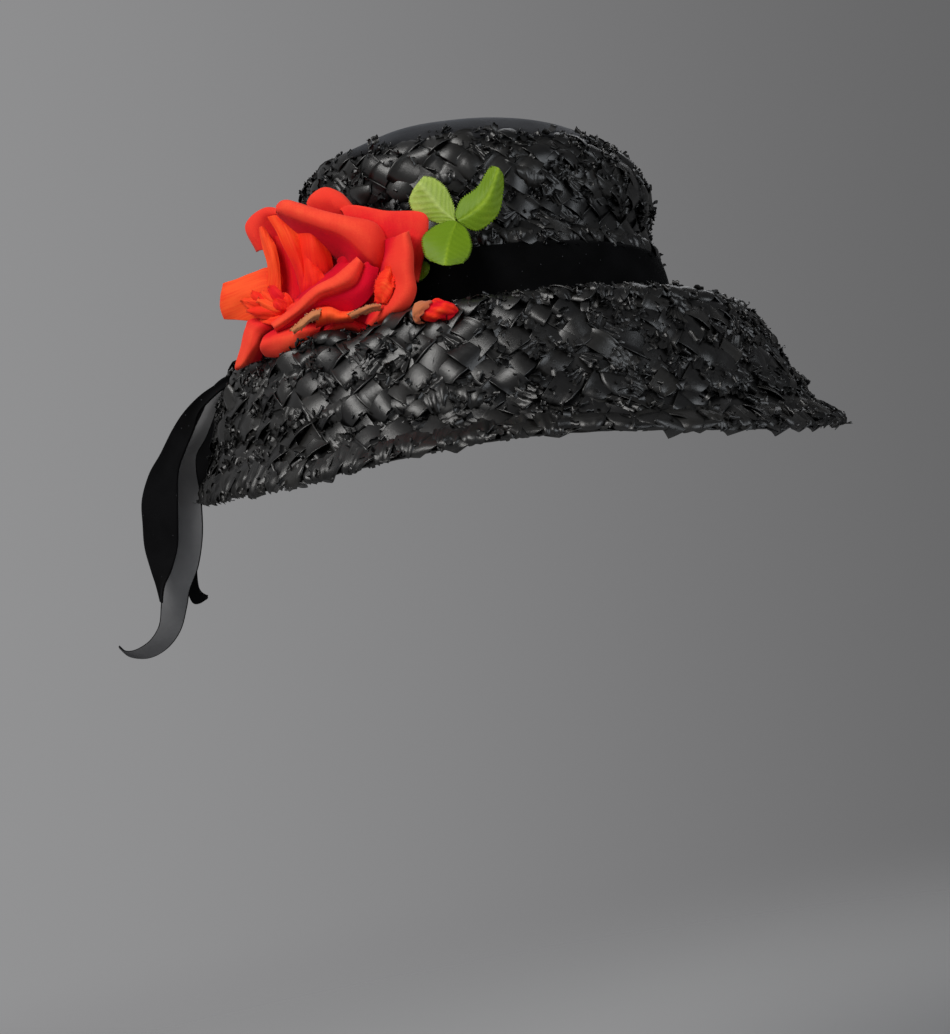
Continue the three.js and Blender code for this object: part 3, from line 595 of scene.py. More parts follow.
def braid_row(name, point, start, end, lower_first, seed, outermost):
    """One row of braid: smooth strips in one piece, and gathered strips, fans and frills in another.

    An outermost row ends at the rim or the band, and any other runs on over the next row.
    """
    draw = np.random.default_rng(seed)
    crossings, edges = row_cells(point, start, end, lower_first)
    if not outermost:
        edges = edges[draw.random(len(edges)) < LOBES_KEPT]
    outwards = -1.0 if lower_first else 1.0
    kind = draw.choice(4, len(crossings), p=KIND_SHARES)
    plain = draw.random(len(edges)) < PLAIN_LOBES
    loops, grow, away = frill_places(point, crossings, edges, kind, end if lower_first else start, draw)
    jobs = (
        (smooth_strip, crossings[kind == SMOOTH], "slant", True),
        (gathered_strip, crossings[kind == GATHERED], "slant", False),
        (fan_strip, crossings[kind == FAN], "spread", False),
        (lobe, edges[plain], "edge", True),
        (pleated_lobe, edges[~plain], "edge", False),
        (lambda n, d: frill(n, d, grow), loops, "any", False),
        (smooth_strip, crossings[kind == TUFT], "under", True),
    )
    pieces = {True: [], False: []}
    for make, cells, lay, solid in jobs:
        count = len(cells)
        p, q, height = np.broadcast_arrays(*make(count, draw))
        side = np.where(cells[:, 3] % 2 == 0, 1, -1)
        if lay in ("slant", "under"):
            angle = side * math.pi / 4 + draw.normal(0, 0.08, count)
        elif lay == "spread":
            angle = outwards * (math.pi / 2 + side * math.pi / 4) + draw.normal(0, 0.2, count)
        elif lay == "edge":
            angle = outwards * math.pi / 2 + draw.normal(0, 0.13, count)
        else:
            angle = draw.uniform(0, TURN, count)
        angle = angle[:, None, None]
        around = p * np.cos(angle) - q * np.sin(angle)
        down = p * np.sin(angle) + q * np.cos(angle)
        near_edge = 1 - cells[:, 2][:, None, None]
        uneven = draw.normal(0, 0.15, (count, 1, 1))
        lift = -1.9 + 1.2 * near_edge + 1.0 * np.clip(near_edge, 0, 1) ** 4 + uneven
        if lay == "any":
            around = around + away[0]
            down = down + np.clip(away[1], -4, 4)
            lift = lift + draw.uniform(0.0, 1.1, (count, 1, 1))
        if lay == "under":
            lift = lift - 1.0
        scales = outwards * down / STRIP * (0.8 if lay == "slant" else 0.0)
        if lay != "edge":
            limit = cells[:, 4][:, None, None] + PAST_EDGE
            beyond = np.clip(outwards * down - limit, 0, None)
            most = PAST_EDGE_FRILL if lay == "any" else PAST_OUTERMOST if outermost else PAST_INNER_ROW
            down = np.where(beyond > 0, outwards * (limit + most * np.tanh(beyond / 3)), down)
            height = height - 0.3 * np.minimum(beyond, 5)
        pressed = under_strap(point, cells[:, 0], cells[:, 1])[:, None, None]
        height = (height + lift + scales) * pressed
        points = lay_on(point, cells[:, 0], cells[:, 1], around, down, height).reshape(-1, 3)
        rows, columns = p.shape[1:]
        faces = np.concatenate([grid_faces(rows, columns, offset=k * rows * columns) for k in range(count)])
        uv = np.stack([p + 40 * draw.random((count, 1, 1)), q + 40 * draw.random((count, 1, 1))], -1)
        tone = np.broadcast_to(draw.random((count, 1, 1)) ** 2, p.shape)
        pieces[solid].append((points, faces, uv.reshape(-1, 2), tone.ravel()))
    for solid, batches in pieces.items():
        points, faces, uv, tone = zip(*batches)
        shifts = np.cumsum([0] + [len(batch) for batch in points[:-1]])
        faces = np.concatenate([batch + shift for batch, shift in zip(faces, shifts)])
        piece = make_mesh(
            name + ("_strips" if solid else "_pleats"), np.concatenate(points), faces, [STRAW_BLACK],
            np.concatenate(uv), np.concatenate(tone),
        )
        if solid:
            skin = piece.modifiers.new("skin", "SOLIDIFY")
            skin.thickness = STRIP_SKIN * MM
            skin.offset = 0


# The woven inner wall: strips round it and weave waves down a level, and how deep the weave is
WALL_STRIPS = 52
WALL_WAVES = 2.1
WALL_WEAVE = 0.6
WALL_ROWS = 34
WALL_OUTER = -1.8


def backing(name, point, last, columns):
    """The braid's inner face: one closed wall whose hidden side is plain and whose open side is woven."""
    turn, share = oval_grid(columns, WALL_ROWS)
    level = share * last(turn)
    lattice = WALL_STRIPS * turn / TURN
    depth = level * WALL_WAVES
    weave = np.abs(np.sin(math.pi * (lattice + depth)) * np.sin(math.pi * (lattice - depth))) ** 0.6
    over = lifted(point, turn, level, WALL_OUTER)
    under = lifted(point, turn, level, -STRAW - WALL_WEAVE * weave)
    points = np.concatenate([over, under[::-1]]).reshape(-1, 3)
    faces = grid_faces(2 * WALL_ROWS + 1, columns, wrap=True) % len(points)
    uv = np.stack([lattice * DIAGONAL, level * 30], 2)
    uv = np.concatenate([uv, uv[::-1]]).reshape(-1, 2)
    tone = np.concatenate([weave, weave[::-1]]).ravel() * 0.6
    piece = make_mesh(name, points, faces, [STRAW_INSIDE], uv, tone)
    return piece


# Camera, floor and light
PHOTO_WIDTH = 950
PHOTO_HEIGHT = 1034
FOCAL_PIXELS = 1811.0
ORIGIN_PIXEL = (497.0, 327.0)
CAMERA_DISTANCE = 900.0
CAMERA_ELEVATION = math.radians(-10.0)
CAMERA_ROLL = math.radians(10.0)
LONG_SENSOR = 36.0
# Height above the head opening of the point that is seen at ORIGIN_PIXEL
AIM_HEIGHT = 7.0


def camera_frame():
    """The camera's place and its right, up and forward directions, in millimetres."""
    to_aim = np.array([0.0, math.cos(CAMERA_ELEVATION), -math.sin(CAMERA_ELEVATION)])
    right = np.array([1.0, 0.0, 0.0])
    up = np.cross(right, to_aim)
    rolled_right = right * math.cos(CAMERA_ROLL) - up * math.sin(CAMERA_ROLL)
    rolled_up = right * math.sin(CAMERA_ROLL) + up * math.cos(CAMERA_ROLL)
    across = ORIGIN_PIXEL[0] - PHOTO_WIDTH / 2
    above = PHOTO_HEIGHT / 2 - ORIGIN_PIXEL[1]
    forward = unit(to_aim * FOCAL_PIXELS - rolled_right * across - rolled_up * above)
    final_right = unit(rolled_right - forward * rolled_right.dot(forward))
    place = np.array([0.0, 0.0, AIM_HEIGHT]) - to_aim * CAMERA_DISTANCE
    return place, final_right, np.cross(final_right, forward), forward


def make_camera():
    """Camera below the hat's level and rolled."""
    place, right, up, forward = camera_frame()
    data = bpy.data.cameras.new("camera")
    data.sensor_width = LONG_SENSOR
    data.lens = FOCAL_PIXELS * LONG_SENSOR / PHOTO_HEIGHT
    camera = add_object("camera", data)
    turned = Matrix((right.tolist(), up.tolist(), (-forward).tolist())).transposed()
    camera.matrix_world = Matrix.Translation((place * MM).tolist()) @ turned.to_4x4()
    bpy.context.scene.camera = camera


def seen(x, y, depth):
    """The point that is seen at a pixel of the photograph, at a depth along the Y axis."""
    x, y, depth = np.broadcast_arrays(*(np.asarray(v, float) for v in (x, y, depth)))
    place, right, up, forward = camera_frame()
    across = (x - PHOTO_WIDTH / 2) / FOCAL_PIXELS
    above = (PHOTO_HEIGHT / 2 - y) / FOCAL_PIXELS
    ray = forward + across[..., None] * right + above[..., None] * up
    return place + ray * ((depth - place[1]) / ray[..., 1])[..., None]


def refined(grid, rows, columns):
    """Smooth grid of points through a coarse one."""
    count, width = grid.shape[:2]
    down = read_table(grid.reshape(count, -1), np.linspace(0, count - 1, rows)).reshape(rows, width, 3)
    across = read_table(down.transpose(1, 0, 2).reshape(width, -1), np.linspace(0, width - 1, columns))
    return across.reshape(columns, rows, 3).transpose(1, 0, 2)


FLOOR_DROP = 460.0
FLOOR_RADIUS = 2600.0
WALL_LIT = (0.3, 0.3, 0.305)
WALL_SHADED = (0.11, 0.11, 0.112)
# Name, place and size in metres, watts and colour
LIGHTS = (
    ("key", (-0.75, -1.0, 1.05), 0.9, 20.0, (1.0, 0.985, 0.96)),
    ("fill", (1.15, -1.0, 0.15), 1.0, 9.0, (0.9, 0.95, 1.0)),
    ("back", (0.3, 1.2, 0.9), 0.9, 2.5, (0.95, 0.97, 1.0)),
)


def make_floor():
    """Wide pale disc that fades into the surroundings, so that no horizon shows."""
    rings, spokes = 12, 72
    angles = np.linspace(0, TURN, spokes, endpoint=False)
    points = [(0, 0, -FLOOR_DROP)]
    for ring in range(1, rings + 1):
        reach = FLOOR_RADIUS * ring / rings
        points += [(reach * math.cos(a), reach * math.sin(a), -FLOOR_DROP) for a in angles]
    faces = [(0, 1 + k, 1 + (k + 1) % spokes) for k in range(spokes)]
    faces += (grid_faces(rings, spokes, wrap=True)[:, [0, 3, 2, 1]] + 1).tolist()
    mesh = bpy.data.meshes.new("floor")
    mesh.from_pydata([tuple(c * MM for c in p) for p in points], [], faces)
    material, tree, shader = new_material(
        "floor", Roughness=0.8, Specular_IOR_Level=0.2, Base_Color=(0.5, 0.5, 0.505, 1)
    )
    distance = node(tree, "ShaderNodeVectorMath", operation="LENGTH")
    tree.links.new(node(tree, "ShaderNodeTexCoord").outputs["Object"], distance.inputs[0])
    fade = mapped(
        tree, distance.outputs["Value"], interpolation_type="SMOOTHERSTEP",
        From_Min=0.35, From_Max=1.7, To_Min=1.0, To_Max=0.0,
    )
    tree.links.new(fade, shader.inputs["Alpha"])
    mesh.materials.append(material)
    add_object("floor", mesh)


def make_lights():
    """Three round lights that face the hat, and surroundings that darken towards the wearer's left."""
    for name, place, size, watts, colour in LIGHTS:
        data = bpy.data.lights.new(name, "AREA")
        data.shape = "DISK"
        data.size = size
        data.energy = watts
        data.color = colour
        lamp = add_object(name, data)
        lamp.location = Vector(place)
        lamp.rotation_mode = "QUATERNION"
        lamp.rotation_quaternion = (-Vector(place)).to_track_quat("-Z", "Y")
    world = bpy.data.worlds.new("surroundings")
    world.use_nodes = True
    tree = world.node_tree
    split = node(tree, "ShaderNodeSeparateXYZ")
    tree.links.new(node(tree, "ShaderNodeTexCoord").outputs["Generated"], split.inputs[0])
    side = mapped(
        tree, split.outputs["X"], interpolation_type="SMOOTHSTEP", From_Min=-0.45, From_Max=0.45
    )
    wall = mix_colours(tree, side, WALL_LIT, WALL_SHADED)
    tree.links.new(wall, tree.nodes["Background"].inputs["Color"])
    bpy.context.scene.world = world
    view = bpy.context.scene.view_settings
    view.view_transform = "Standard"
    view.look = "None"


STRAW_BLACK = straw_material("straw_strip")
STRAW_INSIDE = straw_material("straw_inside", 0.9)
VELVET_BLACK = velvet_material("velvet_pile")
# Painted shade: the band's velvet is the ribbon velvet made darker, with a weaker sheen
BAND_VELVET_SHADED = velvet_material("band_velvet_shaded", (0.0009, 0.0009, 0.001), 0.03)
TIP_VELVET = velvet_material("tip_velvet", (0.006, 0.006, 0.0066), 0.22, (0.75, 0.78, 0.85))
SATIN_GREY = satin_material()


def make_straw():
    for k in range(3):
        start, end = level_of(1.0 + k), level_of(2.0 + k)
        braid_row(f"brim_braid_{k + 1}", brim_point, start, end, False, 20 + k, k == 2)
    for k, (start, end) in enumerate(CROWN_ROWS):
        braid_row(f"crown_braid_{k + 1}", crown_point, start, end, True, 40 + k, k == 0)
    brim = backing("brim_inside", brim_point, level_of(RIM_LEVEL - 0.1), 360)
    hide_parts("brim_straw")
    crown = backing("crown_inside", crown_point, tip_edge, 300)
    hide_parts("crown_straw")


# Levels: the band's top, how far the tip's cloth is tucked under the braid, and the tip's pole,
# then how far that cloth lies from the crown's surface
BAND_LEVELS = 1.04
TIP_TUCK = 0.45
TIP_POLE = 9.998
TIP_LIFT = -1.7


def make_band():
    """Velvet ribbon round the crown's foot, a little crowned and softly rippled."""
    turn, share = oval_grid(320, 14)
    ripple = 0.25 * np.sin(9 * turn + 4 * share) + 0.18 * np.sin(23 * turn - 6 * share)
    lift = GAP + VELVET / 2 + 0.35 * np.sin(math.pi * share) + ripple * np.sin(math.pi * share)
    grid = lifted(crown_point, turn, BAND_LEVELS * share, lift)
    # The band wears the darker velvet of painted shade
    piece = sheet_piece("velvet_band", grid[::-1], VELVET * 0.7, [BAND_VELVET_SHADED], wrap=True)
    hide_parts("hat_band")


def make_tip():
    """Smooth cloth oval, with faint soft dimples, tucked under the crown's top row."""
    turn, share = oval_grid(160, 26)
    edge = tip_edge(turn) - TIP_TUCK
    level = edge + (TIP_POLE - edge) * share
    dimple = 0.3 * np.sin(5 * turn + level) * np.sin(2.2 * level)
    grid = lifted(crown_point, turn, level, TIP_LIFT + dimple)
    piece = sheet_piece("crown_tip_cloth", grid, 1.4, [TIP_VELVET], wrap=True)
    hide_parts("crown_tip")


def make_strap():
    """Velvet strap from the band over the brim at the wearer's right, folded under the rim."""
    top = [(level, 2.7) for level in np.linspace(1.02, RIM_LEVEL, 46)]
    turn_under = [(RIM_LEVEL + 0.05, 1.4), (RIM_LEVEL + 0.07, -0.4), (RIM_LEVEL + 0.05, -2.2)]
    under = [(level, -3.2) for level in np.linspace(RIM_LEVEL, RIM_LEVEL - 0.4, 9)]
    path = np.array(top + turn_under + under)
    columns = 25
    across = np.linspace(-1, 1, columns)
    share = np.linspace(0, 1, len(path))[:, None]
    level = np.broadcast_to(path[:, :1], (len(path), columns))
    fold = 0.9 * np.sin(5.5 * across + 7 * share + 0.6) + 0.45 * np.sin(11 * across - 5 * share)
    lift = path[:, 1:] + fold * np.where(path[:, 1:] > 2, 1, 0.2)
    reach = BASE_HALF_LENGTH + BAND_OUT + 0.3 * BRIM_REACH * (level - 1)
    gathered = 1 - 0.16 * np.exp(-((share / 0.2) ** 2)) + 0.03 * np.sin(14 * share)
    y = STRAP_MIDDLE_Y + STRAP_WIDTH / 2 * across * gathered + 1.2 * np.sin(6 * share)
    turn = 1.5 * math.pi - np.arcsin(y / reach)
    grid = lifted(brim_point, turn, level, lift)
    piece = sheet_piece("velvet_strap", grid, VELVET * 0.8, [VELVET_BLACK])
    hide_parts("brim_strap")


# Ribbon tails: left and right edge of each, from the shoulder to the tip, in pixels of the photograph
TAIL_LEFT = (
    (236, 369, 234, 381), (220, 382, 219, 391), (201, 395, 206, 403), (184, 412, 198, 414),
    (172, 430, 194, 430), (160, 454, 186, 450), (149, 474, 179, 472), (142, 500, 178, 500),
    (143, 525, 178, 525), (145, 548, 177, 548), (151, 570, 171, 570), (156, 586, 164, 586),
    (160, 602, 162, 603),
)
TAIL_MIDDLE = (
    (224, 384, 232, 388), (211, 396, 220, 402), (201, 415, 213, 420), (192, 433, 206, 438),
    (182, 452, 197, 455), (176, 468, 197, 472), (174, 495, 201, 495), (174, 520, 203, 525),
    (174, 545, 202, 545), (169, 566, 198, 568), (162, 587, 190, 590), (161, 605, 187, 607),
    (159, 625, 181, 630), (150, 640, 168, 648), (137, 649, 150, 658), (126, 651, 131, 657),
    (119, 646, 120, 648),
)
TAIL_BACK = (
    (212, 388, 236, 398), (193, 418, 224, 425), (181, 448, 214, 452), (175, 480, 207, 482),
    (175, 510, 201, 512), (176, 540, 200, 540), (179, 562, 198, 562), (186, 578, 197, 574),
    (188, 592, 198, 586), (193, 603, 201, 592), (201, 603, 205, 595), (207, 598, 208, 596),
)
# The middle of each ribbon between the strap and the brim's ridge: turns and brim levels
TAIL_RUNS = {
    "ribbon_left": ((-1.42, 1.25), (-1.37, 1.6), (-1.32, 1.9)),
    "ribbon_middle": ((-1.47, 1.25), (-1.43, 1.6), (-1.4, 1.95)),
    "ribbon_back": ((-1.52, 1.25), (-1.49, 1.6), (-1.47, 2.0)),
}
# Height of the ribbons above the brim, between two of its levels
TAIL_LIFT = ((1.25, 1.9), (3.8, 1.5))
# Painted shade down each ribbon, from shoulder to tip: darker by the strap and darkest at the tips
TAIL_PAINTED_SHADE = ((0, 0.3, 0.65, 0.85, 1.0), (0.5, 0.85, 0.75, 0.22, 0.0))


def make_tail(name, table, depth, turned, bulge, materials, replaced):
    """Ribbon tail with the photograph's outline, bent softly across its width.

    It sways about a depth along the Y axis; turned parts its edges in depth, and bulge moves its middle.
    """
    columns, rows = 17, 110
    edges = np.array(table, float)
    down = np.linspace(0, 1, len(edges))
    sway = depth + 5.0 * np.sin(5.2 * down + depth) * np.sin(math.pi * np.minimum(down * 0.9 + 0.05, 0.5))
    twist = turned * (1 + 0.4 * np.cos(4.4 * down + depth))
    left = seen(edges[:, 0], edges[:, 1], sway + twist)
    right = seen(edges[:, 2], edges[:, 3], sway - twist)
    middle = (left + right) / 2 + np.array([0, -bulge, 0])
    half = np.linalg.norm(left[1] - right[1]) / 2
    side = np.array([0, half, 0]) * np.sign(left[0, 1] - right[0, 1])
    run = []
    for turn, level in TAIL_RUNS[name]:
        spot = lifted(brim_point, turn, level, np.interp(level, *TAIL_LIFT))
        run.append([spot + side, spot, spot - side])
    grid = refined(np.concatenate([np.array(run), np.stack([left, middle, right], 1)]), rows, columns)
    share = np.linspace(0, 1, rows)[:, None]
    across = np.linspace(-1, 1, columns)[None, :]
    wave = 0.5 * np.sin(11 * share + 1.5 * across) * np.sin(math.pi * share)
    grid = grid + grid_normals(grid) * wave[..., None]
    edge = materials.index(VELVET_BLACK)
    # The ribbon's tone is painted shade down its length
    piece = sheet_piece(name, grid, VELVET * 0.75, materials, tone=np.interp(share, *TAIL_PAINTED_SHADE), edge=edge)
    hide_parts(replaced)


def make_tails():
    front, back = VELVET_BLACK, SATIN_GREY
    make_tail("ribbon_left", TAIL_LEFT, -40.0, 2.0, -1.2, [front, back], "ribbon_tail_left")
    make_tail("ribbon_middle", TAIL_MIDDLE, -27.5, -1.0, 0.3, [back, front], "ribbon_tail_middle")
    make_tail("ribbon_back", TAIL_BACK, -16.0, 1.0, -1.0, [front, front], "ribbon_tail_back")


def ramp_material(
    name, stops, roughness, sheen, streak, specular=0.25, weave_scale=1500.0, weave_height=0.0002
):
    """Cloth whose colour follows the tone of each point, which on the rose, bud and leaves carries painted
    shade and highlight, with soft blotches, streaks and a fine weave.
    """
    material, tree, shader = new_material(
        name, Roughness=roughness, Specular_IOR_Level=specular, Sheen_Weight=sheen, Sheen_Roughness=0.4
    )
    links = tree.links
    total, strip = mesh_sources(tree)
    place = node(tree, "ShaderNodeTexCoord").outputs["Object"]
    streaks = texture(tree, stretched(tree, strip, (0.035, 0.9, 1.0)), Scale=1.0, Detail=2.0)
    blotch = texture(tree, place, Scale=110.0, Detail=3.0)
    weave = texture(tree, place, Scale=weave_scale, Detail=2.0, Roughness=0.7)
    for source, share in ((blotch, 0.12), (streaks, streak), (weave, 0.08)):
        change = node(tree, "ShaderNodeMath", operation="MULTIPLY_ADD")
        links.new(source.outputs["Fac"], change.inputs[0])
        change.inputs[1].default_value = 2 * share
        change.inputs[2].default_value = -share
        added = node(tree, "ShaderNodeMath", operation="ADD")
        links.new(change.outputs[0], added.inputs[0])
        links.new(total, added.inputs[1])
        total = added.outputs[0]
    ramp = node(tree, "ShaderNodeValToRGB")
    ramp.color_ramp.interpolation = "EASE"
    points = ramp.color_ramp.elements
    while len(points) < len(stops):
        points.new(0.5)
    for point, (position, colour) in zip(points, stops):
        point.position = position
        point.color = (*colour, 1.0)
    links.new(total, ramp.inputs["Fac"])
    links.new(ramp.outputs["Color"], shader.inputs["Base Color"])
    add_bump(tree, shader, weave, 0.35, weave_height)
    return material


# Low tones are painted shade in deep crimson, kept bright and saturated as a painted glow of light through
# the thin cloth
ROSE_RED = ramp_material(
    "rose_cloth",
    ((0.0, (0.32, 0.0, 0.012)), (0.25, (0.6, 0.001, 0.018)), (0.5, (0.72, 0.012, 0.018)),
     (0.75, (0.84, 0.045, 0.026)), (1.0, (0.95, 0.1, 0.04))),
    roughness=0.8, sheen=0.06, streak=0.05, specular=0.08,
)
# The orange inner cloth has the same painted shade and painted glow at its low tones
ROSE_INNER = ramp_material(
    "rose_inner_cloth",
    ((0.0, (0.45, 0.0, 0.012)), (0.3, (0.7, 0.002, 0.012)), (0.6, (0.86, 0.024, 0.008)),
     (1.0, (0.97, 0.095, 0.02))),
    roughness=0.7, sheen=0.05, streak=0.3, specular=0.12,
)
PETAL_TAN = ramp_material(
    "petal_tan",
    ((0.0, (0.34, 0.04, 0.02)), (0.5, (0.52, 0.16, 0.06)), (1.0, (0.6, 0.27, 0.11))),
    roughness=0.85, sheen=0.2, streak=0.12, weave_scale=1100.0, weave_height=0.0003,
)
LEAF_GREEN = ramp_material(
    "leaf_cloth",
    ((0.0, (0.04, 0.09, 0.002)), (0.35, (0.13, 0.23, 0.003)), (0.65, (0.26, 0.39, 0.016)),
     (1.0, (0.5, 0.62, 0.16))),
    roughness=0.55, sheen=0.05, streak=0.08, weave_scale=1600.0,
)

# Rose petals from root to rim: pixels of the photograph and millimetres towards the viewer.
# The whole rose is turned towards the wearer's right by ROSE_TILT.
ROSE_DEPTH = -90.0
ROSE_MIDDLE_X = 325.0
ROSE_TILT = 0.2


def rose_points(rows):
    x, y, front = np.moveaxis(np.array(rows, float), -1, 0)
    return seen(x, y, ROSE_DEPTH - front - ROSE_TILT * (x - ROSE_MIDDLE_X))


def rolled_rows(rim, foot, front, deep=0.9, sink=18.0, curl=5.0):
    """Rows of a petal whose rim is rolled outwards: rim and foot are the edges of the visible roll."""
    rim, foot, front = (np.array(v, float) for v in (rim, foot, front))
    steps = (
        (1 + deep, -sink), (1.0, -curl), (0.72, -1.0), (0.4, 0.0), (0.12, -1.6), (0.0, -curl),
        (0.25, -2 * curl),
    )
    rows = []
    for share, step in steps:
        spot = rim + (foot - rim) * share
        rows.append(np.concatenate([spot, (front + step)[:, None]], 1))
    return np.array(rows)


def ripple(grid, size, seed):
    """Soft unevenness of cloth, along the grid's own normals."""
    draw = np.random.default_rng(seed)
    rows, columns = grid.shape[:2]
    u, v = np.meshgrid(np.linspace(0, 1, rows), np.linspace(0, 1, columns), indexing="ij")
    wave = np.zeros((rows, columns))
    for octave in (2.0, 4.0, 7.0, 12.0):
        for _ in range(3):
            direction = draw.normal(0, 1, 2)
            direction /= np.linalg.norm(direction)
            phase = draw.uniform(0, TURN)
            wave += np.sin(octave * (direction[0] * u + direction[1] * v) * 2.2 + phase) / octave
    return grid + grid_normals(grid) * (size * wave)[..., None]


def petal(
    name, rows, tones, kind, crease, across=(1, 1), thickness=0.7, rough_edge=0.0, detail=(44, 44), seed=1
):
    """Cloth petal through a coarse table of points, with tones down its rows and shares of them across, which
    are painted shade.
    """
    grid = ripple(refined(rose_points(rows), *detail), crease, seed)
    down, over = (np.linspace(0, 1, count) for count in detail)
    shade = np.interp(down, np.linspace(0, 1, len(tones)), tones)
    shares = np.interp(over, np.linspace(0, 1, len(across)), across)
    if rough_edge:
        draw = np.random.default_rng(seed + 500)
        width = np.abs(np.linspace(-1, 1, detail[0]))[:, None] ** 6
        grid = grid + draw.normal(0, rough_edge, (*detail, 1)) * grid_normals(grid) * width[..., None]
        grid[-1] += draw.normal(0, rough_edge, (detail[1], 3))
        grid[0] += draw.normal(0, rough_edge, (detail[1], 3))
    piece = sheet_piece(name, grid, thickness, [PETAL_CLOTHS[kind]], tone=shade[:, None] * shares)
    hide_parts("rose_petals")
    return piece, grid


PETAL_CLOTHS = {"red": ROSE_RED, "inner": ROSE_INNER, "tan": PETAL_TAN}
TOP_ROLL_RIM = ((276, 206), (288, 201), (318, 210), (346, 217), (373, 223), (386, 240))
TOP_ROLL_FOOT = ((278, 214), (292, 222), (318, 231), (345, 243), (366, 268), (380, 282))
TOP_ROLL_FRONT = (8, 12, 14, 14, 10, 3)
# Painted shade on the top roll: dark inside the roll, and darker towards its right end, which passes into
# shade
TOP_ROLL_PAINTED_SHADE = (0.0, 0.3, 0.72, 0.86, 0.86, 0.8, 0.6)
TOP_ROLL_SHADE_ACROSS = (0.92, 1, 1, 1, 0.92, 0.72)
FRONT_BAND_RIM = ((357, 257), (345, 268), (333, 278), (318, 286), (306, 296), (294, 308), (271, 324))
FRONT_BAND_FOOT = ((364, 264), (356, 282), (340, 291), (322, 297), (312, 305), (298, 316), (276, 331))
FRONT_BAND_FRONT = (13, 18, 20, 21, 21, 19, 14)
# Painted shade on the front band: dark where it turns inside and on the body below the band
FRONT_BAND_PAINTED_SHADE = (0.1, 0.5, 0.75, 0.86, 0.88, 0.8, 0.6, 0.22, 0.3, 0.2)
FRONT_BODY = (
    ((368, 262, 9), (362, 280, 13), (346, 293, 15), (326, 300, 16), (315, 307, 16), (301, 317, 14),
     (279, 331, 9)),
    ((372, 266, 9), (367, 284, 13), (352, 298, 14), (334, 304, 14), (322, 307, 14), (306, 318, 12),
     (284, 331, 8)),
    ((379, 268, 7), (375, 290, 10), (362, 306, 11), (346, 312, 11), (330, 311, 11), (312, 320, 10),
     (290, 332, 7)),
)
LOW_ROLL_RIM = ((316, 308), (330, 308), (342, 313), (354, 311))
LOW_ROLL_FOOT = ((316, 324), (330, 321), (342, 321), (354, 320))
LOW_ROLL_FRONT = (18, 19, 18, 17)
# Painted shade on the low roll: darker at its ends, which lie inside and under the roll
LOW_ROLL_PAINTED_SHADE = (0.3, 0.6, 0.9, 0.95, 0.9, 0.7, 0.5)
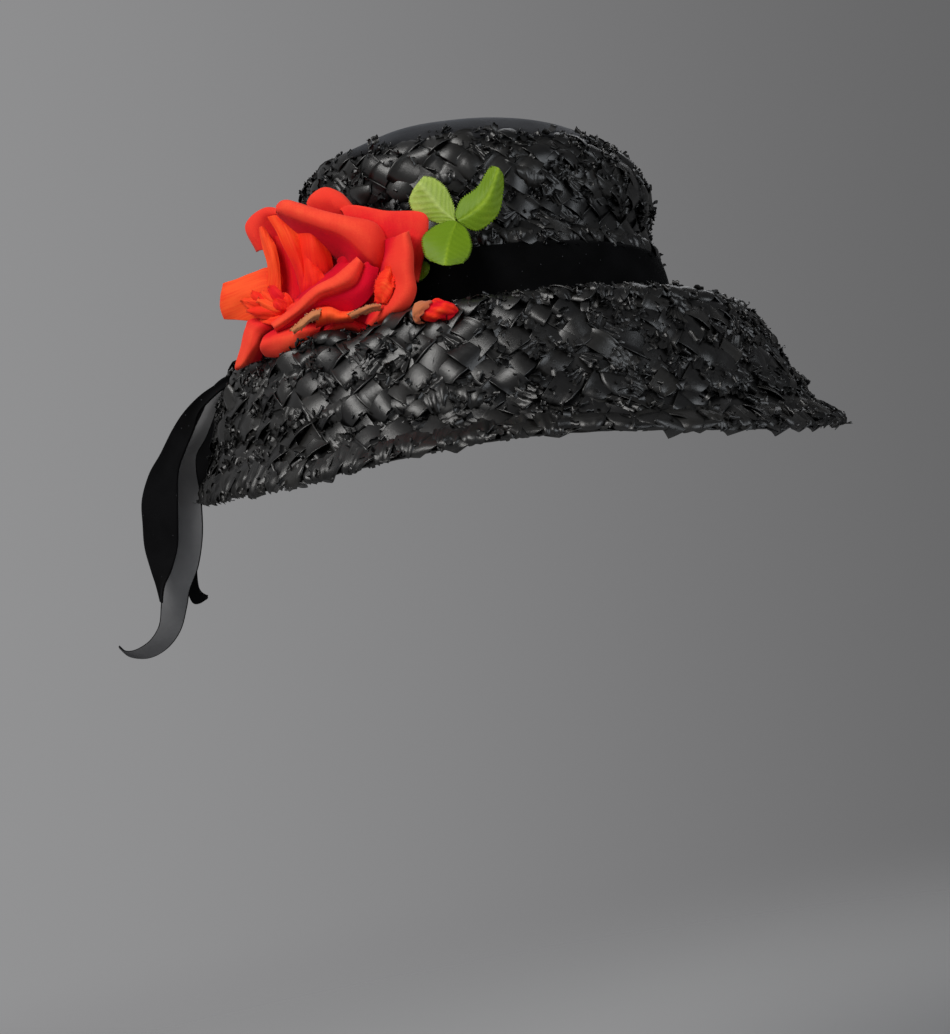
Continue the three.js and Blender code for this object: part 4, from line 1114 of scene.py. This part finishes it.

# Name, tones from root to rim, which are painted shade darkest at the root, cloth, size of the ripple, rows
# of points, and shares of the tone across, which are painted shade too
PETALS = (
    ("petal_back_right", (0.3, 0.5, 0.62, 0.72, 0.7), "red", 0.5, (
        ((335, 262, -12), (340, 262, -12), (345, 262, -12), (348, 266, -12), (350, 270, -12),
         (350, 275, -12)),
        ((345, 228, -2), (356, 228, -1), (376, 232, 0), (394, 244, 0), (398, 258, 0), (396, 276, -2)),
        ((343, 214, 0), (357, 212, 1), (380, 218, 2), (412, 226, 2), (413, 252, 1), (408, 276, -1)),
        ((340, 209, -2), (354, 205, -1), (384, 211, 0), (425, 215, -1), (424, 246, -2), (417, 282, -4)),
        ((341, 212, -5), (355, 209, -4), (384, 215, -3), (419, 221, -4), (420, 247, -5), (413, 279, -7)),
    )),
    ("petal_top", (0.2, 0.5, 0.72, 0.8, 0.7), "red", 0.4, (
        ((322, 255, -14), (324, 255, -14), (328, 255, -14), (332, 255, -14), (335, 256, -14)),
        ((314, 222, -7), (320, 218, -6), (328, 216, -6), (337, 218, -6), (346, 222, -7)),
        ((308, 206, -6), (315, 200, -4), (326, 197, -3), (338, 201, -4), (349, 208, -6)),
        ((307, 204, -8), (312, 195, -7), (326, 187.5, -6), (341, 194, -7), (352, 207, -8)),
        ((309, 207, -10), (315, 199, -10), (326, 192, -9), (339, 198, -10), (350, 210, -10)),
    )),
    ("petal_top_left", (0.2, 0.55, 0.68, 0.76, 0.6), "red", 0.5, (
        ((302, 258, -12), (300, 260, -12), (298, 263, -12), (298, 266, -12), (298, 268, -12)),
        ((284, 222, -6), (276, 226, -6), (272, 234, -6), (270, 243, -6), (272, 252, -6)),
        ((277, 213, -4), (265, 214, -3), (256, 224, -3), (254, 236, -3), (262, 250, -5)),
        ((280, 211, -6), (265, 208.5, -6), (250, 217, -6), (245, 230, -6), (257, 252, -7)),
        ((282, 214, -8), (266, 212, -9), (254, 220, -9), (249, 230, -9), (259, 250, -10)),
    )),
    ("petal_left", (0.3, 0.8, 0.9, 0.93, 0.85, 0.7), "inner", 0.5, (
        ((300, 285, -10), (300, 292, -10), (300, 300, -10), (300, 308, -10)),
        ((272, 268, -1), (270, 286, 1), (270, 302, 1), (268, 321, -1)),
        ((255, 272, 0), (250, 288, 2), (250, 303, 2), (252, 321, 0)),
        ((238, 279, -1), (234, 292, 1), (234, 305, 1), (238, 320, -1)),
        ((224, 283.5, -4), (222, 297, -3), (222.5, 307, -3), (225, 319, -4)),
        ((228, 286, -7), (227, 298, -7), (228, 308, -7), (229, 317, -7)),
    )),
    ("petal_low_left", (0.1, 0.5, 0.78, 0.84, 0.84, 0.7), "red", 0.5, (
        ((296, 318, -6), (298, 322, -6), (299, 325, -6), (300, 328, -6)),
        ((254, 319, 0), (264, 323, 5), (272, 329, 3), (280, 334, -4)),
        ((245, 328, 0), (253, 331, 6), (262, 336, 4), (270, 341, -4)),
        ((241, 347, 0), (249, 346, 6), (257, 347, 4), (264, 350, -3)),
        ((236, 367, -2), (243, 364, 2), (250, 360, 0), (262, 356, -4)),
        ((239, 369, -5), (246, 366, -4), (253, 362, -4), (262, 358, -6)),
    ), (1.0, 1.05, 0.85, 0.1)),
    ("petal_low_middle", (0.0, 0.45, 0.84, 0.84, 0.78, 0.3), "red", 0.5, (
        ((300, 318, 0), (308, 318, 0), (314, 317, 0), (320, 316, 0)),
        ((268, 335, 5), (288, 329, 9), (304, 325, 10), (322, 323, 6)),
        ((262, 343, 8), (283, 337, 14), (303, 332, 14), (321, 328, 9)),
        ((262, 350, 6), (282, 347, 12), (302, 343, 12), (316, 338, 7)),
        ((266, 355, 2), (283, 357, 6), (298, 354, 6), (310, 348, 3)),
        ((269, 353, -2), (284, 356, 0), (298, 353, 0), (309, 347, -2)),
    ), (0.9, 1.0, 1.02, 0.7)),
    ("petal_low_right", (0.0, 0.12, 0.2, 0.5, 0.84, 0.7), "red", 0.5, (
        ((300, 325, 2), (322, 314, 4), (345, 312, 5), (368, 314, 5)),
        ((304, 330, 2), (325, 320, 4), (348, 317, 5), (371, 322, 4)),
        ((308, 337, 2), (326, 325, 4), (348, 321, 5), (371, 329, 3)),
        ((310, 341, 4), (328, 329, 8), (347, 323, 9), (370, 331, 5)),
        ((312, 345, 3), (330, 333, 8), (348, 327, 8), (370, 334, 4)),
        ((313, 350, -2), (332, 340, 2), (350, 333, 2), (370, 338, -1)),
    ), (1.0, 1.0, 0.9, 0.8)),
    ("petal_left_edge", (0.7, 0.78, 0.86, 0.88, 0.86, 0.8, 0.7), "inner", 0.3, (
        ((264, 296, 0), (274, 299, 2), (283, 301, 1)),
        ((266, 286, 1), (275, 287, 3), (281, 286, 2)),
        ((268, 274, 2), (275, 273, 4), (280, 271, 2)),
        ((267, 262, 2), (273, 260, 5), (278, 257, 2)),
        ((263, 248, 1), (269, 246, 4), (275, 245, 2)),
        ((261, 237, 0), (265, 235, 3), (270, 237, 1)),
        ((260, 228, -2), (262, 227, 1), (265, 229, -1)),
    )),
    # Painted shade in the cavity, in a bright saturated crimson that is a painted glow through the cloth
    ("petal_cavity", (0.24, 0.3, 0.34, 0.4), "inner", 0.3, (
        ((276, 304, -1), (292, 305, -2), (310, 303, -1)),
        ((275, 280, -2), (288, 280, -4), (304, 278, -2)),
        ((273, 260, -2), (285, 258, -4), (298, 256, -2)),
        ((270, 236, -2), (280, 236, -4), (292, 236, -2)),
    )),
    ("petal_inner_long", (0.3, 0.42, 0.5, 0.72, 0.86, 0.8), "inner", 0.4, (
        ((303, 302, 0), (306, 300, 2), (311, 298, 1)),
        ((299, 285, 0), (304, 282, 3), (309, 279, 1)),
        ((294, 268, 0), (300, 265, 4), (306, 262, 1)),
        ((285, 248, 0), (293, 245, 5), (302, 242, 1)),
        ((277, 231, -1), (286, 229, 3), (295, 229, 0)),
        ((268, 217, -3), (276, 215, 0), (284, 217, -2)),
    )),
    ("petal_inner_big", (0.2, 0.4, 0.6, 0.68, 0.62), "inner", 0.6, (
        ((302, 294, -3), (312, 296, -2), (324, 290, -3)),
        ((296, 270, -2), (314, 274, 3), (333, 276, -2)),
        ((294, 250, -2), (312, 248, 6), (332, 256, -1)),
        ((290, 236, -3), (310, 232, 5), (326, 244, -1)),
        ((284, 226, -5), (303, 226, 1), (318, 236, -4)),
    )),
    ("petal_inner_right", (0.1, 0.3, 0.6, 0.5), "red", 0.4, (
        ((338, 286, -5), (346, 282, -2), (354, 274, -3)),
        ((337, 262, -4), (346, 260, 1), (356, 257, -2)),
        ((330, 246, -5), (340, 246, 0), (350, 247, -3)),
        ((318, 236, -7), (330, 234, -3), (341, 238, -6)),
    )),
    ("petal_inner_low", (0.3, 0.45, 0.6, 0.55), "inner", 0.5, (
        ((302, 299, 1), (312, 298, 3), (324, 290, 1)),
        ((303, 285, 3), (313, 284, 6), (327, 281, 3)),
        ((303, 271, 2), (311, 270, 6), (322, 273, 3)),
        ((303, 256, 0), (307, 256, 4), (314, 262, 1)),
    )),
    ("petal_small_band", (0.4, 0.72, 0.75, 0.5), "red", 0.4, (
        ((278, 300, 3), (292, 300, 4), (306, 298, 4)),
        ((280, 304, 7), (292, 305, 9), (305, 303, 9)),
        ((282, 311, 8), (294, 312, 10), (303, 309, 10)),
        ((284, 318, 5), (295, 317, 6), (304, 314, 6)),
    )),
    ("petal_right_roll", (0.1, 0.35, 0.62, 0.84, 0.78, 0.45), "red", 0.4, (
        ((381, 242, 0), (380, 256, -1), (378, 268, -2), (374, 288, -1), (368, 303, 1), (366, 313, 2),
         (364, 323, 3)),
        ((390, 238, 5), (387, 252, 5), (383, 266, 5), (382, 285, 6), (377, 301, 7), (372, 312, 7),
         (366, 324, 5)),
        ((397, 236, 8), (392, 250, 9), (387, 264, 10), (392, 282, 10), (386, 300, 11), (378, 312, 10),
         (368, 325, 7)),
        ((404, 233, 11), (405, 252, 14), (404, 270, 15), (406, 288, 15), (398, 304, 15), (386, 315, 13),
         (370, 327, 9)),
        ((409, 231, 7), (413.5, 250, 9), (414, 272, 10), (416, 291, 10), (408, 308, 10), (391, 318, 9),
         (373, 329, 7)),
        ((406, 236, 1), (409, 252, 1), (409, 272, 1), (411, 290, 1), (403, 304, 1), (388, 314, 2),
         (370, 326, 3)),
    )),
)
SMALL_PETALS = (
    ("petal_right_lining", (0.55, 0.75, 0.6), "inner", 1.1, (
        ((383, 267, 10), (379, 284, 11), (377, 302, 11)),
        ((389, 266, 13), (386, 284, 15), (382, 303, 14)),
        ((396, 274, 12), (393, 288, 13), (387, 303, 13)),
    )),
    ("petal_tan_left", (0.6, 0.75, 0.4), "tan", 0.4, (
        ((321, 311, 18), (312, 311, 20), (301, 319, 20), (291, 330, 17)),
        ((320, 314, 20), (312, 317, 22), (303, 324, 21), (293, 331.5, 18)),
        ((318, 317, 18), (311, 322, 19), (303, 328, 19), (294, 333, 17)),
    )),
    ("petal_tan_right", (0.7, 0.6, 0.35), "tan", 0.4, (
        ((350, 315, 17), (361, 309, 19), (371, 305, 18), (381, 304.5, 14)),
        ((351, 317, 18), (362, 312, 20), (371, 307.5, 19), (381, 306, 15)),
        ((352, 319, 16), (362, 315, 17), (371, 311, 16), (380, 307.5, 13)),
    )),
)
# Tips of the small heart's blades and the tone of each
HEART_TIPS = (
    (241, 300, 5), (252, 293, 6), (262, 292, 7), (269, 286, 8), (283, 293, 8), (247, 311, 7), (258, 301, 9),
    (274, 300, 10), (261, 319, 6),
)
HEART_TONES = (0.75, 0.55, 0.82, 0.4, 0.62, 0.66, 0.88, 0.5, 0.72)
HEART_ROOT = (292.0, 316.0, 5.0)
BLADE_HALVES = ((0.0, 3.0), (0.35, 5.6), (0.65, 6.2), (0.88, 3.8), (1.0, 0.5))
HUB_MIDDLE = (330.0, 285.0, -13.0)
HUB_RADII = (15.0, 9.0, 15.0)


def heart_blade(tip, seed):
    """Narrow folded petal from the small heart at the rose's left."""
    draw = np.random.default_rng(seed)
    root, end = np.array(HEART_ROOT), np.array(tip, float)
    run = end - root
    side = np.array([-run[1], run[0], 0]) / np.hypot(run[0], run[1])
    rows = []
    for share, half in BLADE_HALVES:
        middle = root + run * share + np.array([0, 0, 3.0 * math.sin(math.pi * share)])
        back = np.array([0, 0, draw.uniform(1.0, 3.0)])
        rows.append([middle - side * half - back, middle, middle + side * half - back * draw.uniform(0.2, 1)])
    return rows


def make_rose():
    """Small petals first, then the hub and the rest."""
    for k, (name, tones, kind, crease, rows) in enumerate(SMALL_PETALS):
        rough = 0.35 if kind == "tan" else 0.3
        piece, _ = petal(name, rows, tones, kind, crease, rough_edge=rough, detail=(30, 60), seed=70 + k)
    for k, (tip, tone) in enumerate(zip(HEART_TIPS, HEART_TONES)):
        # Each blade's tone starts low at its root: painted shade where the blades gather
        piece, _ = petal(
            f"heart_blade_{k + 1}", heart_blade(tip, 90 + k), (0.2, tone, tone, tone + 0.1), "inner", 0.7,
            thickness=0.5, rough_edge=0.2, detail=(28, 16), seed=120 + k,
        )
    rows = rolled_rows(LOW_ROLL_RIM, LOW_ROLL_FOOT, LOW_ROLL_FRONT, 0.2, 6.0, 4.0)
    piece, _ = petal("petal_low_roll", rows, LOW_ROLL_PAINTED_SHADE, "inner", 0.4, seed=61)
    rest = [make_hub().name]
    for k, (name, tones, kind, crease, rows, *across) in enumerate(PETALS):
        piece, grid = petal(name, rows, tones, kind, crease, *across, seed=k + 1)
    rows = rolled_rows(TOP_ROLL_RIM, TOP_ROLL_FOOT, TOP_ROLL_FRONT)
    piece, grid = petal("petal_top_roll", rows, TOP_ROLL_PAINTED_SHADE, "red", 0.45, TOP_ROLL_SHADE_ACROSS, seed=31)
    band = rolled_rows(FRONT_BAND_RIM, FRONT_BAND_FOOT, FRONT_BAND_FRONT, 0.0, 5.0, 5.0)[::-1]
    inside = band[:1].copy()
    inside[..., :2] += 0.9 * (band[:1, :, :2] - band[-1:, :, :2])
    inside[..., 2] -= 10
    rows = np.concatenate([inside, band[:-1], np.array(FRONT_BODY, float)])
    piece, grid = petal("petal_front_band", rows, FRONT_BAND_PAINTED_SHADE, "red", 0.45, detail=(70, 60), seed=32)


def make_hub():
    """Flattened round base that the petals are gathered on, behind the rose."""
    centre = rose_points([[HUB_MIDDLE]])[0, 0]
    polars = np.linspace(0.06, math.pi - 0.06, 18)
    polar, turn = np.meshgrid(polars, np.linspace(0, TURN, 28, endpoint=False), indexing="ij")
    pucker = 1 + 0.05 * np.sin(7 * turn) * np.sin(polar)
    ball = np.stack([np.sin(polar) * np.cos(turn), -np.cos(polar), np.sin(polar) * np.sin(turn)], -1)
    grid = centre + ball * np.array(HUB_RADII) * pucker[..., None]
    piece = sheet_piece("rose_hub", grid, 0.8, [ROSE_RED], wrap=True)
    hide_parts("rose_heart")
    return piece


# Leaves: name, tone, and left edge, midrib and right edge from the joint to the tip, in pixels
# of the photograph, with the depth of each along the Y axis
LEAVES = (
    ("leaf_upper_left", 0.8, (
        ((457, 216, -104), (456, 221, -105), (450, 225, -105)),
        ((452, 201, -105), (443, 211, -107), (432, 221, -106)),
        ((445, 187, -106), (432, 198, -109), (416, 214, -107)),
        ((434, 178, -107), (422, 186, -111), (409, 200, -108)),
        ((424, 176, -109), (419, 181, -111), (413, 188, -109)),
    )),
    ("leaf_upper_right", 0.36, (
        ((456, 216, -104), (458, 221, -105), (462, 225, -105)),
        ((462, 201, -103), (472, 213, -106), (478, 230, -104)),
        ((478, 189, -103), (486, 200, -107), (497, 214, -104)),
        ((489, 172, -104), (494, 182, -108), (502, 190, -105)),
        ((494, 167, -106), (498, 168, -108), (502, 175, -106)),
    )),
    ("leaf_lower", 0.33, (
        ((452, 219, -105), (457, 221, -106), (462, 223, -105)),
        ((434, 226, -108), (452, 233, -111), (468, 232, -108)),
        ((423, 238, -112), (448, 246, -116), (471, 245, -112)),
        ((425, 254, -115), (446, 257, -119), (468, 256, -115)),
        ((431, 261, -117), (445, 265, -120), (462, 263, -117)),
    )),
)
SIDE_LEAF = ("leaf_side", 0.3, (
    ((404, 262, -101), (410, 268, -102), (410, 274, -101)),
    ((412, 261, -102), (418, 269, -103), (416, 280, -102)),
    ((424, 263, -102), (425, 270, -104), (420, 279, -102)),
    ((429, 267, -102), (428, 271, -103), (424, 276, -102)),
))
LEAF_VEINS = 9
TOOTH = 0.8
STEM_RADIUS = 0.9
STEM_JOINT = (457.0, 221.0, -104.0)
BUD_START = (420.0, 312.5)
BUD_END = (458.0, 311.0)
BUD_RADIUS = 4.5
BUD_SHAPE = ((0, 0.12, 0.4, 0.7, 0.9, 1.0), (0.3, 0.8, 1.05, 0.98, 0.66, 0.12))
BUD_WRAP_RADIUS = 4.7
BUD_WRAP_SHAPE = ((0, 0.15, 0.6, 1.0), (0.2, 0.75, 1.0, 1.0))


def make_leaf(name, base_tone, rows, replaced):
    """Cloth leaf, folded along its midrib, with pressed side veins and a finely toothed edge."""
    detail = (90, 23)
    grid = refined(seen(*np.moveaxis(np.array(rows, float), -1, 0)), *detail)
    along, across = np.meshgrid(np.linspace(0, 1, detail[0]), np.linspace(-1, 1, detail[1]), indexing="ij")
    vein = np.abs(np.sin(LEAF_VEINS * math.pi * (along - 0.28 * np.abs(across))))
    pressed = 0.3 * (1 - np.exp(-(vein / 0.22) ** 2)) + 0.35 * (1 - np.exp(-(across / 0.07) ** 2))
    grid = grid + grid_normals(grid) * -pressed[..., None]
    outward = unit(grid[:, -1] - grid[:, 0])
    tooth = TOOTH * (np.arange(detail[0]) % 3 == 1)[:, None]
    grid[:, -1] += outward * tooth
    grid[:, 0] -= outward * tooth
    # Tone: the leaf's own, with painted highlight along the raised midrib and side veins, and paler towards
    # the tip
    light = base_tone + 0.16 * np.exp(-(across / 0.1) ** 2) + 0.07 * (1 - vein) + 0.1 * (along - 0.5)
    piece = sheet_piece(name, grid, 0.5, [LEAF_GREEN], tone=light)
    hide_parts(replaced)
    return piece, grid


def make_stem():
    """Round stem from the band to the joint of the three leaves."""
    root = lifted(crown_point, -0.43, 0.8, 3.0)
    bend = lifted(crown_point, -0.26, 1.3, 6.5)
    path = read_table(np.array([root, bend, seen(*STEM_JOINT)]), np.linspace(0, 2, 30))
    ahead = unit(np.gradient(path, axis=0))
    side = unit(np.cross(ahead, np.array([0.0, 0.3, 1.0])))
    over = np.cross(side, ahead)
    angle = np.linspace(0, TURN, 12, endpoint=False)[None, :, None]
    ring = side[:, None] * np.cos(angle) + over[:, None] * np.sin(angle)
    grid = path[:, None] + STEM_RADIUS * ring
    stem = sheet_piece("leaf_stem", grid, STEM_RADIUS * 0.8, [LEAF_GREEN], wrap=True, tone=0.35)
    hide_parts("leaf_spray")


def make_leaves():
    make_stem()
    side_leaf, _ = make_leaf(*SIDE_LEAF, "side_leaf")
    for name, tone, rows in LEAVES:
        piece, grid = make_leaf(name, tone, rows, "leaf_spray")


def make_bud():
    """Crinkled red bud in a tan outer petal."""
    low, high = (np.array(corner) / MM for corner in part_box("rosebud"))
    depth = (low[1] + high[1]) / 2
    start, end = seen(*BUD_START, depth), seen(*BUD_END, depth)
    run = end - start
    ahead = unit(run)
    over = unit(np.cross(np.array([0.0, -1.0, 0.0]), ahead))
    front = np.cross(ahead, over)

    def around(angle):
        return np.cos(angle)[..., None] * over + np.sin(angle)[..., None] * front

    turns = np.linspace(0, TURN, 60, endpoint=False)
    share, angle = np.meshgrid(np.linspace(0, 1, 46), turns, indexing="ij")
    crinkle = 0.16 * np.sin(3 * angle + 5 * share) + 0.08 * np.sin(8 * angle - 9 * share)
    crinkle = crinkle + 0.04 * np.sin(17 * share + 3 * angle)
    radius = BUD_RADIUS * np.interp(share, *BUD_SHAPE) * (1 + crinkle * np.clip(share * 2, 0, 1))
    grid = start + share[..., None] * run + radius[..., None] * around(angle)
    # Painted shade: the bud is darker in the hollows of its crinkles and paler on their crests
    bud = sheet_piece("bud_heart", grid, 0.5, [ROSE_INNER], wrap=True, tone=0.42 + 1.2 * crinkle)
    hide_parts("rosebud")
    share, angle = np.meshgrid(np.linspace(0, 1, 26), np.linspace(-0.7, 3.6, 40), indexing="ij")
    reach = 0.34 + 0.16 * np.sin(1.7 * angle + 0.4) + 0.03 * np.sin(11 * angle)
    radius = BUD_WRAP_RADIUS * np.interp(share, *BUD_WRAP_SHAPE) + 0.3 * np.sin(4 * angle + 5 * share)
    grid = start - 3.0 * ahead + (share * reach)[..., None] * run + radius[..., None] * around(angle)
    wrap = sheet_piece("bud_outer_petal", grid, 0.6, [PETAL_TAN], tone=0.5 - 0.3 * share)
    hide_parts("rosebud")


make_camera()
make_floor()
make_lights()
make_straw()
make_band()
make_tip()
make_strap()
make_tails()
make_rose()
make_leaves()
make_bud()
